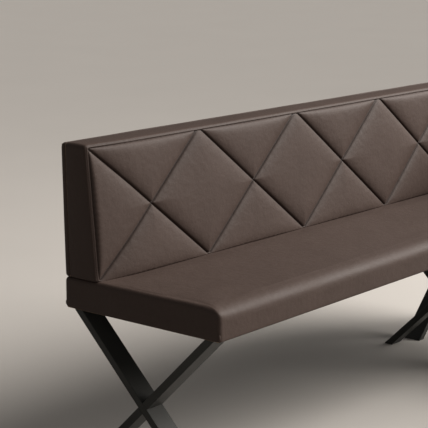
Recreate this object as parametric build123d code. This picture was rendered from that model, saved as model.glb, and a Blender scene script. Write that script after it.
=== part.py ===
from build123d import *
import math
import os

# Overall sizes of the L-shaped bench, in millimetres.
# While it is modelled, x runs along the long wing from its free end to the outer
# corner, y = 0 is the rear of the long wing, the room is on the -y side, z = 0 is
# the floor.
long_length = 2003.0
short_length = 1570.0
total_height = 842.0
seat_height = 500.0
seat_thickness = 82.0
seat_depth = 510.0

# Fits and cutting
running_overrun = 60.0
cushion_gap = 0.3
thread_gap = 0.1

# Upholstery skin
skin = 1.5
hem_width = 25.0
dust_cover_gap = 0.3

# Seat cushion form
seat_front_roll = 26.0
seat_rear_roll = 12.0
seat_end_roll = 12.0
seat_underside_roll = 5.0
seat_rear_foot_roll = 14.0
seat_front_corner = 10.0
seat_rear_corner = 12.0
seat_crown = 4.0
seat_crown_run = 160.0
seat_crown_relief = 12.0
seat_crown_margin = 6.0
seat_board_thickness = 18.0

# Backrest section: thickness from the rear plane at the foot and at the top
back_foot_depth = 126.0
back_top_depth = 89.0
back_lean = 8.0
back_rear_top_roll = 15.0
back_rear_foot_roll = 16.0
back_rear_corner = 12.0
back_end_top_corner = 10.0
rear_seam_offset = 20.0
top_seam_drop = 8.0

# Layers of the backrest, from the seam plane of the quilted front to the rear
quilt_pad_thickness = 22.0
back_foam_thickness = 18.0
front_board_thickness = 6.0
rear_board_thickness = 4.0
bottom_rail_height = 30.0
top_rail_height = 22.0
upright_thickness = 18.0
upright_spacing = 480.0

# Quilting: sewn diagonals cross the front from seam to seam
quilt_first_width = 422.0
quilt_diamond_width = 433.0
quilt_crest = 7.0
quilt_valley = 5.0
quilt_shoulder = 36.0
quilt_border = 28.0
quilt_shoulder_lift = 0.8
quilt_top_split = 9.5
border_bulge_share = 0.72
shoulder_bulge_share = 0.31

# X frames of rectangular tube, a little in front of the middle of the seat depth
bar_width = 60.0
bar_thickness = 20.0
bar_wall = 2.0
bar_edge_break = 1.2
foot_span = 407.0
leg_angle = 45.0
frame_inset = 3.0
frame_forward = 5.5
corner_frame_inset = 60.0
top_plate_thickness = 5.0
top_plate_width = 30.0
top_plate_offset = 10.0
top_plate_hem_gap = 1.0
top_plate_gap = 0.3
glide_thickness = 3.0
glide_margin = 0.5

# Screws that hold a top plate or a joint plate under a seat board
screw_thread = 6.0
screw_length = 16.0
screw_head_width = 10.0
screw_head_height = 4.0
screw_hole = 6.6
screw_end_margin = 45.0
screw_row_count = 4
screw_insert_diameter = 10.0
screw_insert_length = 13.0

# Long bolts that hold a backrest on a seat
bolt_thread = 8.0
bolt_length = 110.0
bolt_head_width = 13.0
bolt_head_height = 5.3
bolt_hole = 9.0
bolt_rear_distance = 40.0
bolt_end_distance = 140.0
bolt_pilot_depth = 26.0
bolt_corner_distance = 350.0
long_bolt_count = 4
short_bolt_count = 2
small_round_sides = 8
washer_diameter = 24.0
washer_thickness = 1.6
spacer_diameter = 16.0
bolt_insert_diameter = 12.0
bolt_insert_length = 20.0

# Flat plates that join the two seats under their common edge
joint_plate_length = 140.0
joint_plate_width = 50.0
joint_plate_thickness = 4.0
joint_plate_distance = 110.0
joint_screw_offset = 46.0

# Worked out from the sizes above
underside = seat_height - seat_thickness
board_bottom = underside + skin
board_top = board_bottom + seat_board_thickness
back_bottom = seat_height + cushion_gap
back_rise = total_height - back_bottom
front_run = back_foot_depth - back_top_depth
front_slant = math.hypot(front_run, back_rise)
quilt_rise = front_slant - top_seam_drop
front_up = Vector(0, front_run / front_slant, back_rise / front_slant)
short_seat_length = short_length - seat_depth - cushion_gap
crown_start = back_foot_depth + quilt_crest + seat_crown_relief
corner_u = short_length - (back_foot_depth + back_top_depth) / 2
half_foot_span = foot_span / 2
cross_height = half_foot_span / math.tan(math.radians(leg_angle))
plate_top = underside + top_plate_thickness
plate_half_length = seat_depth / 2 - frame_forward - skin - hem_width - top_plate_hem_gap


def block(low, high):
    """Box between two opposite corners."""
    size = [b - a for a, b in zip(low, high)]
    middle = [(a + b) / 2 for a, b in zip(low, high)]
    return Pos(*middle) * Box(*size)


def outline(plane, points, radii):
    """Closed straight outline with a rounded corner at each point."""
    return make_face(plane * FilletPolyline(*points, radius=radii, close=True))


def along_x(points, radii, low, high):
    """Outline in depth and height, run along x."""
    plane = Plane(origin=(low, 0, 0), x_dir=(0, 1, 0), z_dir=(1, 0, 0))
    return extrude(outline(plane, points, radii), high - low, dir=(1, 0, 0))


def along_y(points, radii, low, high):
    """Outline in x and height, run along y."""
    plane = Plane(origin=(0, high, 0), x_dir=(1, 0, 0), z_dir=(0, -1, 0))
    return extrude(outline(plane, points, radii), high - low, dir=(0, -1, 0))


def rounding(corner, first, second, radius, course, facets=False):
    """Cutter that rounds a sharp edge, or breaks it into two flat facets.

    The edge starts at corner and runs along course; first and second are unit
    vectors that lead from it along its two faces.
    """
    over = running_overrun
    lead = course.normalized() * over
    start = corner - lead
    inward = radius * (1 - math.sqrt(1 / 2))
    first_end = start + first * radius
    second_end = start + second * radius
    shape = Polyline if facets else ThreePointArc
    inside = shape(first_end, start + (first + second) * inward, second_end)
    outside = Polyline(
        second_end,
        second_end - first * over,
        start - (first + second) * over,
        first_end - second * over,
        first_end,
    )
    return extrude(make_face([inside, outside]), course.length + 2 * over, dir=course)


def rod(x, y, low, high, diameter):
    """Upright rod or hole of a hidden fastener, drawn with few sides."""
    face = RegularPolygon(diameter / 2, small_round_sides)
    return Pos(x, y, low) * extrude(face, high - low, dir=(0, 0, 1))


def hexagon(x, y, low, high, across_flats):
    """Upright hexagonal head."""
    face = RegularPolygon(across_flats / 2, 6, major_radius=False)
    return Pos(x, y, low) * extrude(face, high - low, dir=(0, 0, 1))


def drilled(solid, places, low, high, diameter):
    """Solid with an upright hole at each place."""
    for x, y in places:
        solid = solid - rod(x, y, low, high, diameter)
    return solid


def to_short_wing(shape):
    """Mirror a piece built along x into the short wing, free end at -y."""
    diagonal = Plane(origin=(0, 0, 0), x_dir=(1, 1, 0), z_dir=(1, -1, 0))
    return Pos(long_length, -short_length, 0) * mirror(shape, about=diagonal)


def from_short_wing(u, v):
    """Floor plan place of u along the short wing from its free end and v from its rear."""
    return long_length + v, u - short_length


def into_short_wing(x, y):
    """The same, the other way round."""
    return y + short_length, x - long_length


# Seats


def seat_crown_block(near, far, top):
    """Crown of a seat in front of the backrest, fading out towards both ends."""
    front = seat_front_roll + seat_crown_margin - seat_depth
    peak = top + seat_crown
    root = top - seat_crown
    middle = (front - crown_start) / 2
    plane = Plane(origin=(near, 0, 0), x_dir=(0, 1, 0), z_dir=(1, 0, 0))
    arc = ThreePointArc((-crown_start, top), (middle, peak), (front, top))
    sides = Polyline((front, top), (front, root), (-crown_start, root), (-crown_start, top))
    crown = extrude(make_face([plane * arc, plane * sides]), far - near, dir=(1, 0, 0))
    ramp = [
        (near, root),
        (near, top),
        (near + seat_crown_run, peak),
        (far - seat_crown_run, peak),
        (far, top),
        (far, root),
    ]
    return crown & along_y(ramp, [0] * len(ramp), -seat_depth, 0)


def seat_block(length, crown_end, inset):
    """Seat cushion form, drawn in by inset on every side."""
    low = underside + inset
    top = seat_height - inset
    rear = -inset
    front = inset - seat_depth
    near = inset
    far = length - inset
    body = along_x(
        [(rear, low), (front, low), (front, top), (rear, top)],
        [
            seat_rear_foot_roll - inset,
            seat_underside_roll - inset,
            seat_front_roll - inset,
            seat_rear_roll - inset,
        ],
        near,
        far,
    )
    right, back, up = Vector(1, 0, 0), Vector(0, 1, 0), Vector(0, 0, 1)
    rise = up * (top - low)
    depth = back * (rear - front)
    rear_radius = seat_rear_corner - inset
    front_radius = seat_front_corner - inset
    end_radius = seat_end_roll - inset
    for x, along, hidden in ((near, right, False), (far, -right, True)):
        body -= rounding(Vector(x, rear, low), along, -back, rear_radius, rise)
        body -= rounding(Vector(x, front, low), along, back, front_radius, rise)
        body -= rounding(Vector(x, front, top), along, -up, end_radius, depth, facets=hidden)
    crown_near = seat_end_roll + seat_crown_margin
    return body + seat_crown_block(crown_near, min(crown_end, length - crown_near), top)


def seat_pieces(length, crown_end, frame_screws, joint_screws, bolts, pockets):
    """Board, foam, cover and dust cover of one seat."""
    outer = seat_block(length, crown_end, 0)
    inner = seat_block(length, crown_end, skin)
    rim = skin + hem_width
    over = running_overrun
    above_board = block((-over, -seat_depth - over, board_top), (length + over, over, seat_height + over))
    board = inner - above_board
    foam = inner & above_board
    opening = block((rim, rim - seat_depth, underside - over), (length - rim, -rim, board_bottom))
    cover = outer - inner - opening
    edge = rim + dust_cover_gap
    dust_cover = block((edge, edge - seat_depth, underside), (length - edge, -edge, board_bottom))
    low = underside - over
    high = seat_height + over
    for near, front, far, rear in pockets:
        pocket = block((near, front, low), (far, rear, plate_top))
        board = board - pocket
        dust_cover = dust_cover - pocket
    board = drilled(board, frame_screws, low, plate_top + screw_insert_length, screw_insert_diameter)
    board = drilled(board, joint_screws, low, board_bottom + screw_insert_length, screw_insert_diameter)
    board = drilled(board, bolts, low, high, bolt_hole)
    foam = drilled(foam, bolts, low, high, spacer_diameter)
    cover = drilled(cover, bolts, low, high, bolt_hole)
    cover = drilled(cover, joint_screws, low, board_bottom, screw_hole)
    dust_cover = drilled(dust_cover, bolts, low, high, bolt_hole)
    dust_cover = drilled(dust_cover, joint_screws, low, high, screw_hole)
    return {"seat_board": board, "seat_foam": foam, "seat_cover": cover, "dust_cover": dust_cover}


# Backrests


def rear_y(z):
    """Rear line of the backrest section at a height."""
    return back_lean * (z - back_bottom) / back_rise


def front_y(z):
    """Seam line of the quilted front at a height."""
    return -back_foot_depth + front_run * (z - back_bottom) / back_rise


def back_block(length, inset, front_extra, end_lean):
    """Backrest form, drawn in by inset, its front moved forward by front_extra.

    Its far end leans outward by end_lean from foot to top.
    """
    low = back_bottom + inset
    top = total_height - inset
    near = inset
    far = length - inset
    over = running_overrun
    rise = top - low
    lean = back_lean * rise / back_rise
    far_lean = end_lean * rise / back_rise
    over_lean = end_lean * over / back_rise
    rear = rear_y(low) - inset
    front = front_y(low) - front_extra
    body = along_x(
        [
            (rear, low),
            (front, low),
            (front_y(top) - front_extra, top),
            (rear_y(top) - inset, top),
        ],
        [back_rear_foot_roll - inset, 0, 0, back_rear_top_roll - inset],
        near,
        far + over,
    )
    beyond = [
        (far - over_lean, low - over),
        (far + far_lean + over_lean, top + over),
        (far + 2 * over, top + over),
        (far + 2 * over, low - over),
    ]
    body -= along_y(beyond, [0] * len(beyond), front - over, back_lean + over)
    right, back, up = Vector(1, 0, 0), Vector(0, 1, 0), Vector(0, 0, 1)
    corner_radius = back_rear_corner - inset
    top_radius = back_end_top_corner - inset
    depth = back * (rear + lean - front)
    down = Vector(-far_lean, 0, -rise).normalized()
    near_edge = Vector(0, lean, rise)
    far_edge = Vector(far_lean, lean, rise)
    body -= rounding(Vector(near, rear, low), right, -back, corner_radius, near_edge)
    body -= rounding(Vector(far, rear, low), -right, -back, corner_radius, far_edge, facets=True)
    body -= rounding(Vector(near, front, top), right, -up, top_radius, depth)
    body -= rounding(Vector(far + far_lean, front, top), -right, down, top_radius, depth)
    return body


def back_layer(length, front_from, front_to, rear_from):
    """Upright slab between two depths behind the seam line; rear_from keeps it off the rear line."""
    low = back_bottom
    top = total_height
    over = running_overrun
    if rear_from is None:
        points = [
            (front_y(low) + front_from, low),
            (front_y(low) + front_to, low),
            (front_y(top) + front_to, top),
            (front_y(top) + front_from, top),
        ]
    elif front_from is None:
        points = [
            (rear_y(low) - rear_from, low),
            (rear_y(low) + over, low),
            (rear_y(top) + over, top),
            (rear_y(top) - rear_from, top),
        ]
    else:
        points = [
            (front_y(low) + front_from, low),
            (rear_y(low) - rear_from, low),
            (rear_y(top) - rear_from, top),
            (front_y(top) + front_from, top),
        ]
    return along_x(points, [0] * len(points), -over, length + over)


def beyond_trim(inset):
    """Space past the sloped end where the short backrest meets the long one."""
    over = running_overrun
    low = back_bottom - over
    high = total_height + over
    reach = quilt_crest * front_slant / back_rise + cushion_gap + inset
    end_low = short_length + front_y(low) - reach
    end_high = short_length + front_y(high) - reach
    far = short_length + over
    points = [(end_low, low), (end_high, high), (far, high), (far, low)]
    return along_y(points, [0] * len(points), -seat_depth, seat_depth)


def diagonal_stations(corner):
    """Places along the wing where the sewn diagonals meet the seams."""
    stations = [0, quilt_first_width]
    while stations[-1] + quilt_diamond_width < corner:
        stations.append(stations[-1] + quilt_diamond_width)
    stations.append(2 * corner - stations[-1])
    return stations


def groove(start, end):
    """Cutter for one sewn diagonal between two points (u, v) of the front plane."""
    run = Vector(end[0] - start[0], end[1] - start[1], 0)
    run_length = run.length
    direction = Vector(1, 0, 0) * run.X + front_up * run.Y
    base = Vector(0, -back_foot_depth, back_bottom) + Vector(1, 0, 0) * start[0] + front_up * start[1]
    origin = base - direction.normalized() * running_overrun
    normal = Vector(1, 0, 0).cross(front_up)
    across = direction.cross(normal).normalized()
    plane = Plane(origin=origin, x_dir=across, z_dir=direction)
    sign = 1 if plane.y_dir.dot(normal) > 0 else -1
    top = quilt_crest + quilt_shoulder_lift
    depth = top + quilt_valley
    half = quilt_shoulder / 2
    shoulder = sign * (top - depth * shoulder_bulge_share)
    left = ThreePointArc(
        (-quilt_shoulder, sign * top), (-half, shoulder), (0, -sign * quilt_valley)
    )
    right = ThreePointArc(
        (0, -sign * quilt_valley), (half, shoulder), (quilt_shoulder, sign * top)
    )
    roof = Polyline(
        (quilt_shoulder, sign * top),
        (quilt_shoulder, sign * (top + running_overrun)),
        (-quilt_shoulder, sign * (top + running_overrun)),
        (-quilt_shoulder, sign * top),
    )
    face = make_face([plane * left, plane * right, plane * roof])
    return extrude(face, run_length + 2 * running_overrun, dir=direction)


def lip_zone(length):
    """Room for the boxing that is folded over the top edge down to the top seam."""
    origin = Vector(-running_overrun, -back_foot_depth, back_bottom)
    side = Plane(origin=origin, x_dir=front_up, z_dir=(1, 0, 0))
    high = front_slant + running_overrun
    corners = Polyline(
        (quilt_rise, running_overrun), (high, running_overrun), (high, -skin), (quilt_rise, -skin), close=True
    )
    return extrude(make_face(side * corners), length + 2 * running_overrun, dir=(1, 0, 0))


def quilt_pad(length, stations):
    """Quilted front with drawn-in borders and a sewn valley along each diagonal."""
    origin = Vector(0, -back_foot_depth, back_bottom)
    behind = -quilt_pad_thickness
    lift = quilt_crest * border_bulge_share
    half = quilt_border / 2
    side = Plane(origin=origin, x_dir=front_up, z_dir=(1, 0, 0))
    foot_arc = ThreePointArc((0, 0), (half, lift), (quilt_border, quilt_crest))
    top_arc = ThreePointArc(
        (quilt_rise - quilt_border, quilt_crest), (quilt_rise - half, lift), (quilt_rise, 0)
    )
    flat = Line((quilt_border, quilt_crest), (quilt_rise - quilt_border, quilt_crest))
    rest = Polyline((quilt_rise, 0), (front_slant, 0), (front_slant, behind), (0, behind), (0, 0))
    section = make_face([side * edge for edge in (foot_arc, flat, top_arc, rest)])
    body = extrude(section, length, dir=(1, 0, 0))
    plan = Plane(origin=origin + front_up * (front_slant + running_overrun), x_dir=(1, 0, 0), z_dir=-front_up)
    sign = 1 if plan.y_dir.Y < 0 else -1
    near_arc = ThreePointArc((0, 0), (half, sign * lift), (quilt_border, sign * quilt_crest))
    far_arc = ThreePointArc(
        (length - quilt_border, sign * quilt_crest), (length - half, sign * lift), (length, 0)
    )
    flat = Line((quilt_border, sign * quilt_crest), (length - quilt_border, sign * quilt_crest))
    rest = Polyline((length, 0), (length, sign * behind), (0, sign * behind), (0, 0))
    section = make_face([plan * edge for edge in (near_arc, flat, far_arc, rest)])
    body = body & extrude(section, front_slant + 2 * running_overrun, dir=-front_up)
    for left, right in zip(stations, stations[1:]):
        top_left = left + (quilt_top_split if left > 0 else 0)
        body = body - groove((top_left, quilt_rise), (right, 0))
        body = body - groove((left, 0), (right - quilt_top_split, quilt_rise))
    return body


def back_pieces(length, stations, bolt_places, end_lean, trimmed):
    """Covers, foam, boards and wooden frame of one backrest."""
    outer = back_block(length, 0, 0, end_lean)
    inner = back_block(length, skin, 0, end_lean)
    room = back_block(length, skin, quilt_crest + running_overrun, end_lean)
    if trimmed:
        outer = outer - beyond_trim(0)
        inner = inner - beyond_trim(skin)
        room = room - beyond_trim(skin)
    room = room - lip_zone(length)
    rear_zone = back_layer(length, None, None, rear_seam_offset)
    rear_cover = (outer & rear_zone) - inner
    boxing = outer - rear_zone - room
    pad = quilt_pad(length + end_lean, stations) & room
    foam_start = quilt_pad_thickness * front_slant / back_rise
    board_start = foam_start + back_foam_thickness
    frame_start = board_start + front_board_thickness
    rear_start = skin + rear_board_thickness
    foam = inner & back_layer(length, foam_start, board_start, None)
    front_board = inner & back_layer(length, board_start, frame_start, None)
    rear_board = inner & back_layer(length, None, None, rear_start)
    core = inner & back_layer(length, frame_start, None, rear_start)
    over = running_overrun
    low = back_bottom + skin + bottom_rail_height
    high = total_height - skin - top_rail_height
    below = block((-over, -seat_depth, 0), (length + over, seat_depth, low))
    above = block((-over, -seat_depth, high), (length + over, seat_depth, total_height + over))
    bottom_rail = core & below
    top_rail = core & above
    middle = core - below - above
    reach = core.bounding_box()
    uprights = []
    count = max(2, round((reach.max.X - reach.min.X) / upright_spacing) + 1)
    step = (reach.max.X - reach.min.X - upright_thickness) / (count - 1)
    for index in range(count):
        start = reach.min.X + index * step
        post = block((start, -seat_depth, low), (start + upright_thickness, seat_depth, high))
        uprights.append(middle & post)
    drill_low = back_bottom - over
    insert_top = back_bottom + skin + bolt_insert_length
    pilot_top = back_bottom + skin + bolt_pilot_depth
    boxing = drilled(boxing, bolt_places, drill_low, insert_top, bolt_hole)
    bottom_rail = drilled(bottom_rail, bolt_places, drill_low, pilot_top, bolt_hole)
    bottom_rail = drilled(bottom_rail, bolt_places, drill_low, insert_top, bolt_insert_diameter)
    return {
        "back_quilted_front": pad,
        "back_boxing": boxing,
        "back_rear_cover": rear_cover,
        "back_foam": foam,
        "back_front_board": front_board,
        "back_rear_board": rear_board,
        "back_bottom_rail": bottom_rail,
        "back_top_rail": top_rail,
        "back_uprights": uprights,
    }


# X frames, built across y about their crossing


def slanted_bar(side, inset, edge_break):
    """Bar at the leg angle through the crossing, leaning to one side of y."""
    angle = math.radians(leg_angle)
    section = Rectangle(bar_width - 2 * inset, bar_thickness - 2 * inset)
    if edge_break:
        section = chamfer(section.vertices(), edge_break)
    course = Vector(0, side * math.sin(angle), math.cos(angle))
    reach = cross_height / math.cos(angle) + seat_thickness
    plane = Plane(origin=(0, 0, cross_height), x_dir=(1, 0, 0), z_dir=course)
    return extrude(plane * section, reach, both=True)


def spread(first, last, count):
    """Evenly spaced values from first to last."""
    return [first + (last - first) * index / (count - 1) for index in range(count)]


def frame_screw_places():
    """Screw places in a row along a top plate."""
    reach = plate_half_length - screw_end_margin
    return [(top_plate_offset, y) for y in spread(-reach, reach, screw_row_count)]


def frame_pieces():
    """Continuous bar, two half bars, top plate and two glides of one X frame."""
    over = running_overrun
    half_width = bar_width / 2
    level = block(
        (-half_width, -seat_depth, glide_thickness), (half_width, seat_depth, underside)
    )
    full = slanted_bar(1, 0, bar_edge_break) & level
    crossing = slanted_bar(-1, 0, bar_edge_break) & level
    long_bar = full - slanted_bar(1, bar_wall, 0)
    halves = crossing - slanted_bar(-1, bar_wall, 0) - slanted_bar(1, 0, 0)
    halves = halves.solids().sort_by(Axis.Z)
    near = top_plate_offset - top_plate_width / 2
    far = top_plate_offset + top_plate_width / 2
    plate = block((near, -plate_half_length, underside), (far, plate_half_length, plate_top))
    plate = drilled(plate, frame_screw_places(), underside - over, plate_top + over, screw_hole)
    glide_half = bar_thickness / 2 / math.cos(math.radians(leg_angle)) - glide_margin
    glide_side = half_width - glide_margin
    foot_y = (cross_height - glide_thickness) * math.tan(math.radians(leg_angle))
    glides = []
    for y in (-foot_y, foot_y):
        glides.append(block((-glide_side, y - glide_half, 0), (glide_side, y + glide_half, glide_thickness)))
    return {
        "long_bar": long_bar,
        "lower_half_bar": halves[0],
        "upper_half_bar": halves[-1],
        "top_plate": plate,
        "glides": glides,
    }


frame_depth = seat_depth / 2 + frame_forward
frame_places = {
    "left": Pos(frame_inset + bar_width / 2, -frame_depth, 0),
    "middle": Pos(long_length - seat_depth - frame_inset - bar_width / 2, -frame_depth, 0),
    "corner": Pos(long_length - frame_depth, -corner_frame_inset - bar_width / 2, 0) * Rot(0, 0, 90),
    "end": Pos(long_length - frame_depth, frame_inset + bar_width / 2 - short_length, 0) * Rot(0, 0, 90),
}


def placed_screws(place):
    """Screw places of one frame on the floor plan."""
    spots = []
    for x, y in frame_screw_places():
        point = (place * Pos(x, y, 0)).position
        spots.append((point.X, point.Y))
    return spots


def plate_pocket(place):
    """Plan of the pocket for one top plate: near, front, far, rear."""
    half_width = top_plate_width / 2 + top_plate_gap
    half_length = plate_half_length + top_plate_gap
    first = (place * Pos(top_plate_offset - half_width, -half_length, 0)).position
    last = (place * Pos(top_plate_offset + half_width, half_length, 0)).position
    xs = sorted((first.X, last.X))
    ys = sorted((first.Y, last.Y))
    return xs[0], ys[0], xs[1], ys[1]


# Fasteners


def screw_at(x, y, plate_low):
    """Hexagon screw through a plate into a threaded insert of the seat board."""
    head = hexagon(x, y, plate_low - screw_head_height, plate_low, screw_head_width)
    return head + rod(x, y, plate_low, plate_low + screw_length, screw_thread)


def insert_at(x, y, low, length, outer, thread):
    """Threaded insert with a through hole."""
    body = rod(x, y, low, low + length, outer)
    return body - rod(x, y, low, low + length, thread + 2 * thread_gap)


def joint_plate_places():
    """Middles of the two joint plates, on the common edge of the seats."""
    left = long_length - seat_depth + joint_plate_distance
    right = long_length - joint_plate_distance
    return [(left, -seat_depth), (right, -seat_depth)]


def joint_screw_places():
    """Screw places of the joint plates, on both sides of the common edge."""
    offsets = (-joint_screw_offset, joint_screw_offset)
    return [(x, y + offset) for x, y in joint_plate_places() for offset in offsets]


def joint_plates():
    """Flat plates under the common edge of the two seats."""
    plates = []
    low = underside - joint_plate_thickness
    for x, y in joint_plate_places():
        half = (joint_plate_width / 2, joint_plate_length / 2)
        plate = block((x - half[0], y - half[1], low), (x + half[0], y + half[1], underside))
        spots = [spot for spot in joint_screw_places() if spot[0] == x]
        plates.append(drilled(plate, spots, low - running_overrun, underside + running_overrun, screw_hole))
    return plates


long_back_bolts = [
    (x, -bolt_rear_distance)
    for x in spread(bolt_end_distance, long_length - bolt_end_distance, long_bolt_count)
]
short_back_bolts = [
    (u, -bolt_rear_distance)
    for u in spread(bolt_end_distance, short_seat_length - bolt_end_distance, short_bolt_count)
]
corner_back_bolt = (short_length - bolt_corner_distance, -bolt_rear_distance)
all_short_bolts = short_back_bolts + [corner_back_bolt]
bolt_spots = long_back_bolts + [from_short_wing(*spot) for spot in all_short_bolts]

long_frames = [frame_places[label] for label in ("left", "middle", "corner")]
long_frame_spots = [spot for place in long_frames for spot in placed_screws(place)]
short_frame_spots = placed_screws(frame_places["end"])
frame_spots = long_frame_spots + short_frame_spots
joint_spots = joint_screw_places()
long_joint_spots = [spot for spot in joint_spots if spot[1] > -seat_depth]
short_joint_spots = [spot for spot in joint_spots if spot[1] < -seat_depth]

nodes = {}

long_seat = seat_pieces(
    long_length,
    long_length - crown_start,
    long_frame_spots,
    long_joint_spots,
    long_back_bolts + [from_short_wing(*corner_back_bolt)],
    [plate_pocket(place) for place in long_frames],
)
end_near, end_front, end_far, end_rear = plate_pocket(frame_places["end"])
end_pocket = into_short_wing(end_near, end_front) + into_short_wing(end_far, end_rear)
short_seat = seat_pieces(
    short_seat_length,
    short_seat_length,
    [into_short_wing(*spot) for spot in short_frame_spots],
    [into_short_wing(*spot) for spot in short_joint_spots],
    short_back_bolts,
    [end_pocket],
)
for name, piece in long_seat.items():
    nodes["long_" + name] = [piece]
for name, piece in short_seat.items():
    nodes["short_" + name] = [to_short_wing(piece)]

long_corner = long_length - (back_foot_depth + back_top_depth) / 2
long_stations = diagonal_stations(long_corner)
short_stations = diagonal_stations(corner_u)
long_back = back_pieces(long_length, long_stations, long_back_bolts, back_lean, False)
short_back = back_pieces(short_length, short_stations, all_short_bolts, 0, True)
for name, piece in long_back.items():
    nodes["long_" + name] = piece if isinstance(piece, list) else [piece]
for name, piece in short_back.items():
    pieces = piece if isinstance(piece, list) else [piece]
    nodes["short_" + name] = [to_short_wing(one) for one in pieces]

nodes["foot_glides"] = []
for label, place in frame_places.items():
    for name, piece in frame_pieces().items():
        if name == "glides":
            nodes["foot_glides"] += [place * one for one in piece]
        else:
            nodes[label + "_frame_" + name] = [place * piece]

joint_low = underside - joint_plate_thickness
nodes["frame_screws"] = [screw_at(x, y, underside) for x, y in frame_spots]
nodes["joint_screws"] = [screw_at(x, y, joint_low) for x, y in joint_spots]
nodes["seat_board_inserts"] = [
    insert_at(x, y, low, screw_insert_length, screw_insert_diameter, screw_thread)
    for spots, low in ((frame_spots, plate_top), (joint_spots, board_bottom))
    for x, y in spots
]
nodes["seat_joint_plates"] = joint_plates()

washer_low = underside - washer_thickness
nodes["back_bolts"] = [
    hexagon(x, y, washer_low - bolt_head_height, washer_low, bolt_head_width)
    + rod(x, y, washer_low, washer_low + bolt_length, bolt_thread)
    for x, y in bolt_spots
]
nodes["back_bolt_washers"] = [
    rod(x, y, washer_low, underside, washer_diameter) - rod(x, y, washer_low, underside, bolt_hole)
    for x, y in bolt_spots
]
nodes["back_bolt_spacers"] = [
    rod(x, y, board_top, seat_height - skin, spacer_diameter)
    - rod(x, y, board_top, seat_height - skin, bolt_hole)
    for x, y in bolt_spots
]
nodes["back_rail_inserts"] = [
    insert_at(x, y, back_bottom + skin, bolt_insert_length, bolt_insert_diameter, bolt_thread)
    for x, y in bolt_spots
]

# The origin goes to the middle of the footprint, on the floor.
low_x = min(piece.bounding_box().min.X for pieces in nodes.values() for piece in pieces)
high_x = max(piece.bounding_box().max.X for pieces in nodes.values() for piece in pieces)
low_y = min(piece.bounding_box().min.Y for pieces in nodes.values() for piece in pieces)
high_y = max(piece.bounding_box().max.Y for pieces in nodes.values() for piece in pieces)
home = Pos(-(low_x + high_x) / 2, -(low_y + high_y) / 2, 0)

os.makedirs("parts", exist_ok=True)
for name, pieces in nodes.items():
    solids = [solid for piece in pieces for solid in (home * piece).solids()]
    shape = solids[0] if len(solids) == 1 else Compound(children=solids)
    export_step(shape, "parts/" + name + ".step")
print(len(nodes), "nodes")
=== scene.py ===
import math
from types import SimpleNamespace

import bmesh
import bpy
import numpy as np
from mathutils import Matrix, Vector, noise


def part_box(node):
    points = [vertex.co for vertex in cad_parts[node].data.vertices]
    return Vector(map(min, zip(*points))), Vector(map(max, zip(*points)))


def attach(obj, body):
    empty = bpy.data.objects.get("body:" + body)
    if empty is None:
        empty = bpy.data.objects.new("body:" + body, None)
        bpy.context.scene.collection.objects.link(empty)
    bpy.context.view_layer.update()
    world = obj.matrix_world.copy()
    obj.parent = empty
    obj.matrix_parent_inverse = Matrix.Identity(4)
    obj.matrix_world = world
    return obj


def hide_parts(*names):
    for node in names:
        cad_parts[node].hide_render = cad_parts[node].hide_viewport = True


bl_info = {
    "name": "Corner bench",
    "version": (1, 0, 0),
    "blender": (4, 5, 0),
    "location": "3D View > Sidebar > Corner bench",
    "description": "Upholsters the corner bench in quilted leather and finishes its steel frames",
    "category": "Object",
}

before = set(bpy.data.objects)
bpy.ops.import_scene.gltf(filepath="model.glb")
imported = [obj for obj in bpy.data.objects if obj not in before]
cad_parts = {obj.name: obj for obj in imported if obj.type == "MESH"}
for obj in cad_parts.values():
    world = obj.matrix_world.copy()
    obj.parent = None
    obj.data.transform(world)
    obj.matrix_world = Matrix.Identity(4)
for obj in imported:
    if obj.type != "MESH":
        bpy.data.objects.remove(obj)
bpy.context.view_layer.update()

# Lengths below are in millimetres. A wing's own axes: x from its free end along the wing,
# y from its rear plane (the front is negative) and z up from the floor.

MM = 0.001
SEAT_LOW, SEAT_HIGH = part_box("long_seat_cover")
BACK_LOW, BACK_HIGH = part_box("long_back_boxing")
SHORT_LOW, SHORT_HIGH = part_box("short_seat_cover")
ORIGIN = Vector((SEAT_LOW[0], SEAT_HIGH[1], 0.0))


def span(low, high, axis):
    """Length of a box along one axis."""
    return (high[axis] - low[axis]) / MM


LONG_LENGTH = span(SEAT_LOW, SEAT_HIGH, 0)
SEAT_DEPTH = span(SEAT_LOW, SEAT_HIGH, 1)
SHORT_LENGTH = (SEAT_HIGH[1] - SHORT_LOW[1]) / MM
SHORT_SEAT_LENGTH = span(SHORT_LOW, SHORT_HIGH, 1)
UNDERSIDE = SEAT_LOW[2] / MM
BACK_BOTTOM = BACK_LOW[2] / MM
SEAT_TOP = BACK_BOTTOM - 0.3
TOTAL_HEIGHT = BACK_HIGH[2] / MM
BACK_RISE = TOTAL_HEIGHT - BACK_BOTTOM

PRESSURE = 4.0
SIMULATED_FRAMES = 20
BOARD_THICKNESS = 18
JOINT_MARGIN = 30  # from the joint between the seats, where the swell fades out


# Settings


def length_setting(label, about, default, least=0.0, most=1000.0):
    """Length that a user may change; Blender keeps it in metres."""
    return bpy.props.FloatProperty(
        name=label, description=about, default=default * MM, min=least * MM, max=most * MM,
        subtype="DISTANCE", unit="LENGTH", precision=4,
    )


def colour_setting(label, about, default):
    """Colour that a user may change."""
    return bpy.props.FloatVectorProperty(
        name=label, description=about, default=default, size=3, min=0.0, max=1.0, subtype="COLOR"
    )


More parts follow.
